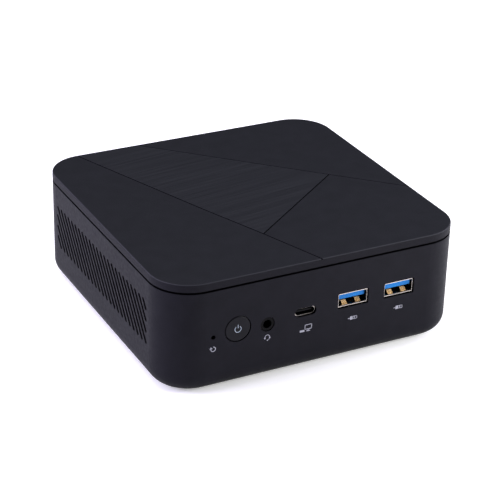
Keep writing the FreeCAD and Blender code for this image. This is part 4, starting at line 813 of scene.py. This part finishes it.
def network_contacts():
    """Eight sprung contacts that slope down from the roof of the network socket."""
    mesh = bmesh.new()
    section = [(x * CONTACT_HALF, z * CONTACT_HALF) for x, z in ((-1, -1), (1, -1), (1, 1), (-1, 1))]
    for index in range(CONTACT_COUNT):
        x = JACK_X + (index - (CONTACT_COUNT - 1) / 2) * CONTACT_PITCH
        rings = []
        for back, down in CONTACT_PATH:
            y = JACK_HIGH.y + back * MM
            z = JACK_HIGH.z + down * MM
            rings.append([mesh.verts.new((x + dx, y, z + dz)) for dx, dz in section])
        close_tube(mesh, rings)
    add_piece("network_contacts", mesh, "case", MATERIALS["spring_gold"])


def network_lamps():
    """The two small lamp windows below the network socket's mouth."""
    for name, (side, dark, light) in LAMPS.items():
        mesh = bmesh.new()
        middle = Vector((JACK_X + side * LAMP_SIDE, JACK_HIGH.y, JACK_LOW.z + LAMP_RISE))
        add_block(mesh, middle, LAMP_SIZE, LAMP_BEVEL, segments=2)
        lens = moulded("lamp_" + name, dark, light, 0.25, 1200.0, FINE_GRAIN)
        add_piece("network_lamp_" + name, mesh, "case", lens)


def solder_points():
    """Free places on the board's upper side, away from everything that stands on it."""
    corners = []
    faces = []
    for name, node in NODES.items():
        if name not in ("motherboard", "top_cover", "bottom_cover"):
            start = len(corners)
            corners.extend(node.matrix_world @ vert.co for vert in node.data.vertices)
            for polygon in node.data.polygons:
                faces.append([start + index for index in polygon.vertices])
    around = BVHTree.FromPolygons(corners, faces)
    board = NODES["motherboard"].data
    flat = BVHTree.FromPolygons([vert.co for vert in board.vertices],
                                [polygon.vertices for polygon in board.polygons])
    draw = random.Random(SMD_SEED)
    columns = int(BOARD_HIGH.x / MM / SMD_PITCH)
    rows = int(BOARD_HIGH.y / MM / SMD_PITCH)
    down = Vector((0, 0, -1))
    places = []
    for column in range(-columns, columns + 1):
        for row in range(-rows, rows + 1):
            shift = (draw.uniform(-SMD_JITTER, SMD_JITTER), draw.uniform(-SMD_JITTER, SMD_JITTER))
            keep = draw.random() < SMD_SHARE
            kind = draw.random()
            turned = draw.random() < 0.5
            x = (column * SMD_PITCH + shift[0]) * MM
            y = (row * SMD_PITCH + shift[1]) * MM
            spot = Vector((x, y, BOARD_TOP + SMD_PROBE))
            clear = around.find_nearest(spot)[3] > SMD_CLEARANCE
            under = [flat.ray_cast(spot + Vector((dx * MM, dy * MM, 0)), down, MM)[0]
                     for dx, dy in ((-1, -1), (1, -1), (-1, 1), (1, 1))]
            if keep and clear and all(under):
                places.append((Vector((x, y, BOARD_TOP)), kind, turned))
    return places


def surface_parts():
    """Resistors, ceramic capacitors and small chips soldered over the free board."""
    bodies = {"dark": bmesh.new(), "tan": bmesh.new()}
    tin = bmesh.new()
    for place, kind, turned in solder_points():
        turn = math.radians(90) if turned else 0.0
        size, colour = next((size, colour) for share, size, colour in SMD_KINDS if kind < share)
        length, width, height = (value * MM for value in size)
        middle = place + Vector((0, 0, height / 2))
        add_block(bodies[colour], middle, (length, width, height), SMD_BEVEL, turn)
        end_size = (SMD_END_LENGTH, width * SMD_END_GROWTH, height * SMD_END_GROWTH)
        along = Vector((math.cos(turn), math.sin(turn), 0))
        for side in (-1, 1):
            end = middle + along * side * (length / 2)
            end.z = place.z + height * SMD_END_GROWTH / 2
            add_block(tin, end, end_size, SMD_END_BEVEL, turn)
    add_piece("smd_dark_bodies", bodies["dark"], "case", MATERIALS["chip_black"])
    add_piece("smd_ceramic_bodies", bodies["tan"], "case", CERAMIC)
    add_piece("smd_tinned_ends", tin, "case", MATERIALS["capacitor_can"])


# ---- stage, in metres and watts ----
# Each light has a name, a place, a width, a height, a power and a colour.
FLOOR_SIZE = 8.0
WORLD_STRENGTH = 0.03
LIGHT_TARGET = (0, 0, 0.02)
LIGHTS = (
    ("overhead", (-0.25, 0.40, 1.25), 1.4, 1.2, 14.0, WHITE),
    ("left", (-1.1, 0.30, 0.55), 0.9, 0.8, 24.2, (0.79, 0.74, 1.0)),
    ("right", (1.1, 0.0, 0.45), 0.8, 0.7, 11.0, (0.80, 0.77, 1.0)),
    ("near_right", (0.27, -0.25, 0.16), 0.20, 0.15, 1.30, WHITE),
)


def add_floor():
    bpy.ops.mesh.primitive_plane_add(size=FLOOR_SIZE, location=(0, 0, 0))
    floor = bpy.context.object
    floor.name = "floor"
    floor.data.materials.append(floor_material())


def add_softbox(name, place, width, height, power, colour):
    """A rectangular light that faces the object and isn't itself seen."""
    data = bpy.data.lights.new(name, "AREA")
    data.shape = "RECTANGLE"
    data.size = width
    data.size_y = height
    data.energy = power
    data.color = colour
    lamp = bpy.data.objects.new(name, data)
    SCENE.collection.objects.link(lamp)
    lamp.visible_camera = False
    lamp.location = place
    aim = Vector(LIGHT_TARGET) - Vector(place)
    lamp.rotation_euler = aim.to_track_quat("-Z", "Y").to_euler()


def add_lights():
    for light in LIGHTS:
        add_softbox(*light)
    world = bpy.data.worlds.new("studio")
    world.use_nodes = True
    background = world.node_tree.nodes["Background"]
    background.inputs["Color"].default_value = (*WHITE, 1)
    background.inputs["Strength"].default_value = WORLD_STRENGTH
    SCENE.world = world
    SCENE.view_settings.view_transform = "Standard"


add_camera()
add_floor()
add_lights()
dress_nodes()
power_mark()
reset_mark()
headset_mark()
screen_mark()
for side in ("left", "right"):
    plug_mark(f"plug_mark_{side}", MOUNTS[f"front_usb_{side}"]["pos_m"][0])
cooler_coils()
network_contacts()
network_lamps()
surface_parts()
for block in BLOCKS.values():
    bpy.data.meshes.remove(block)
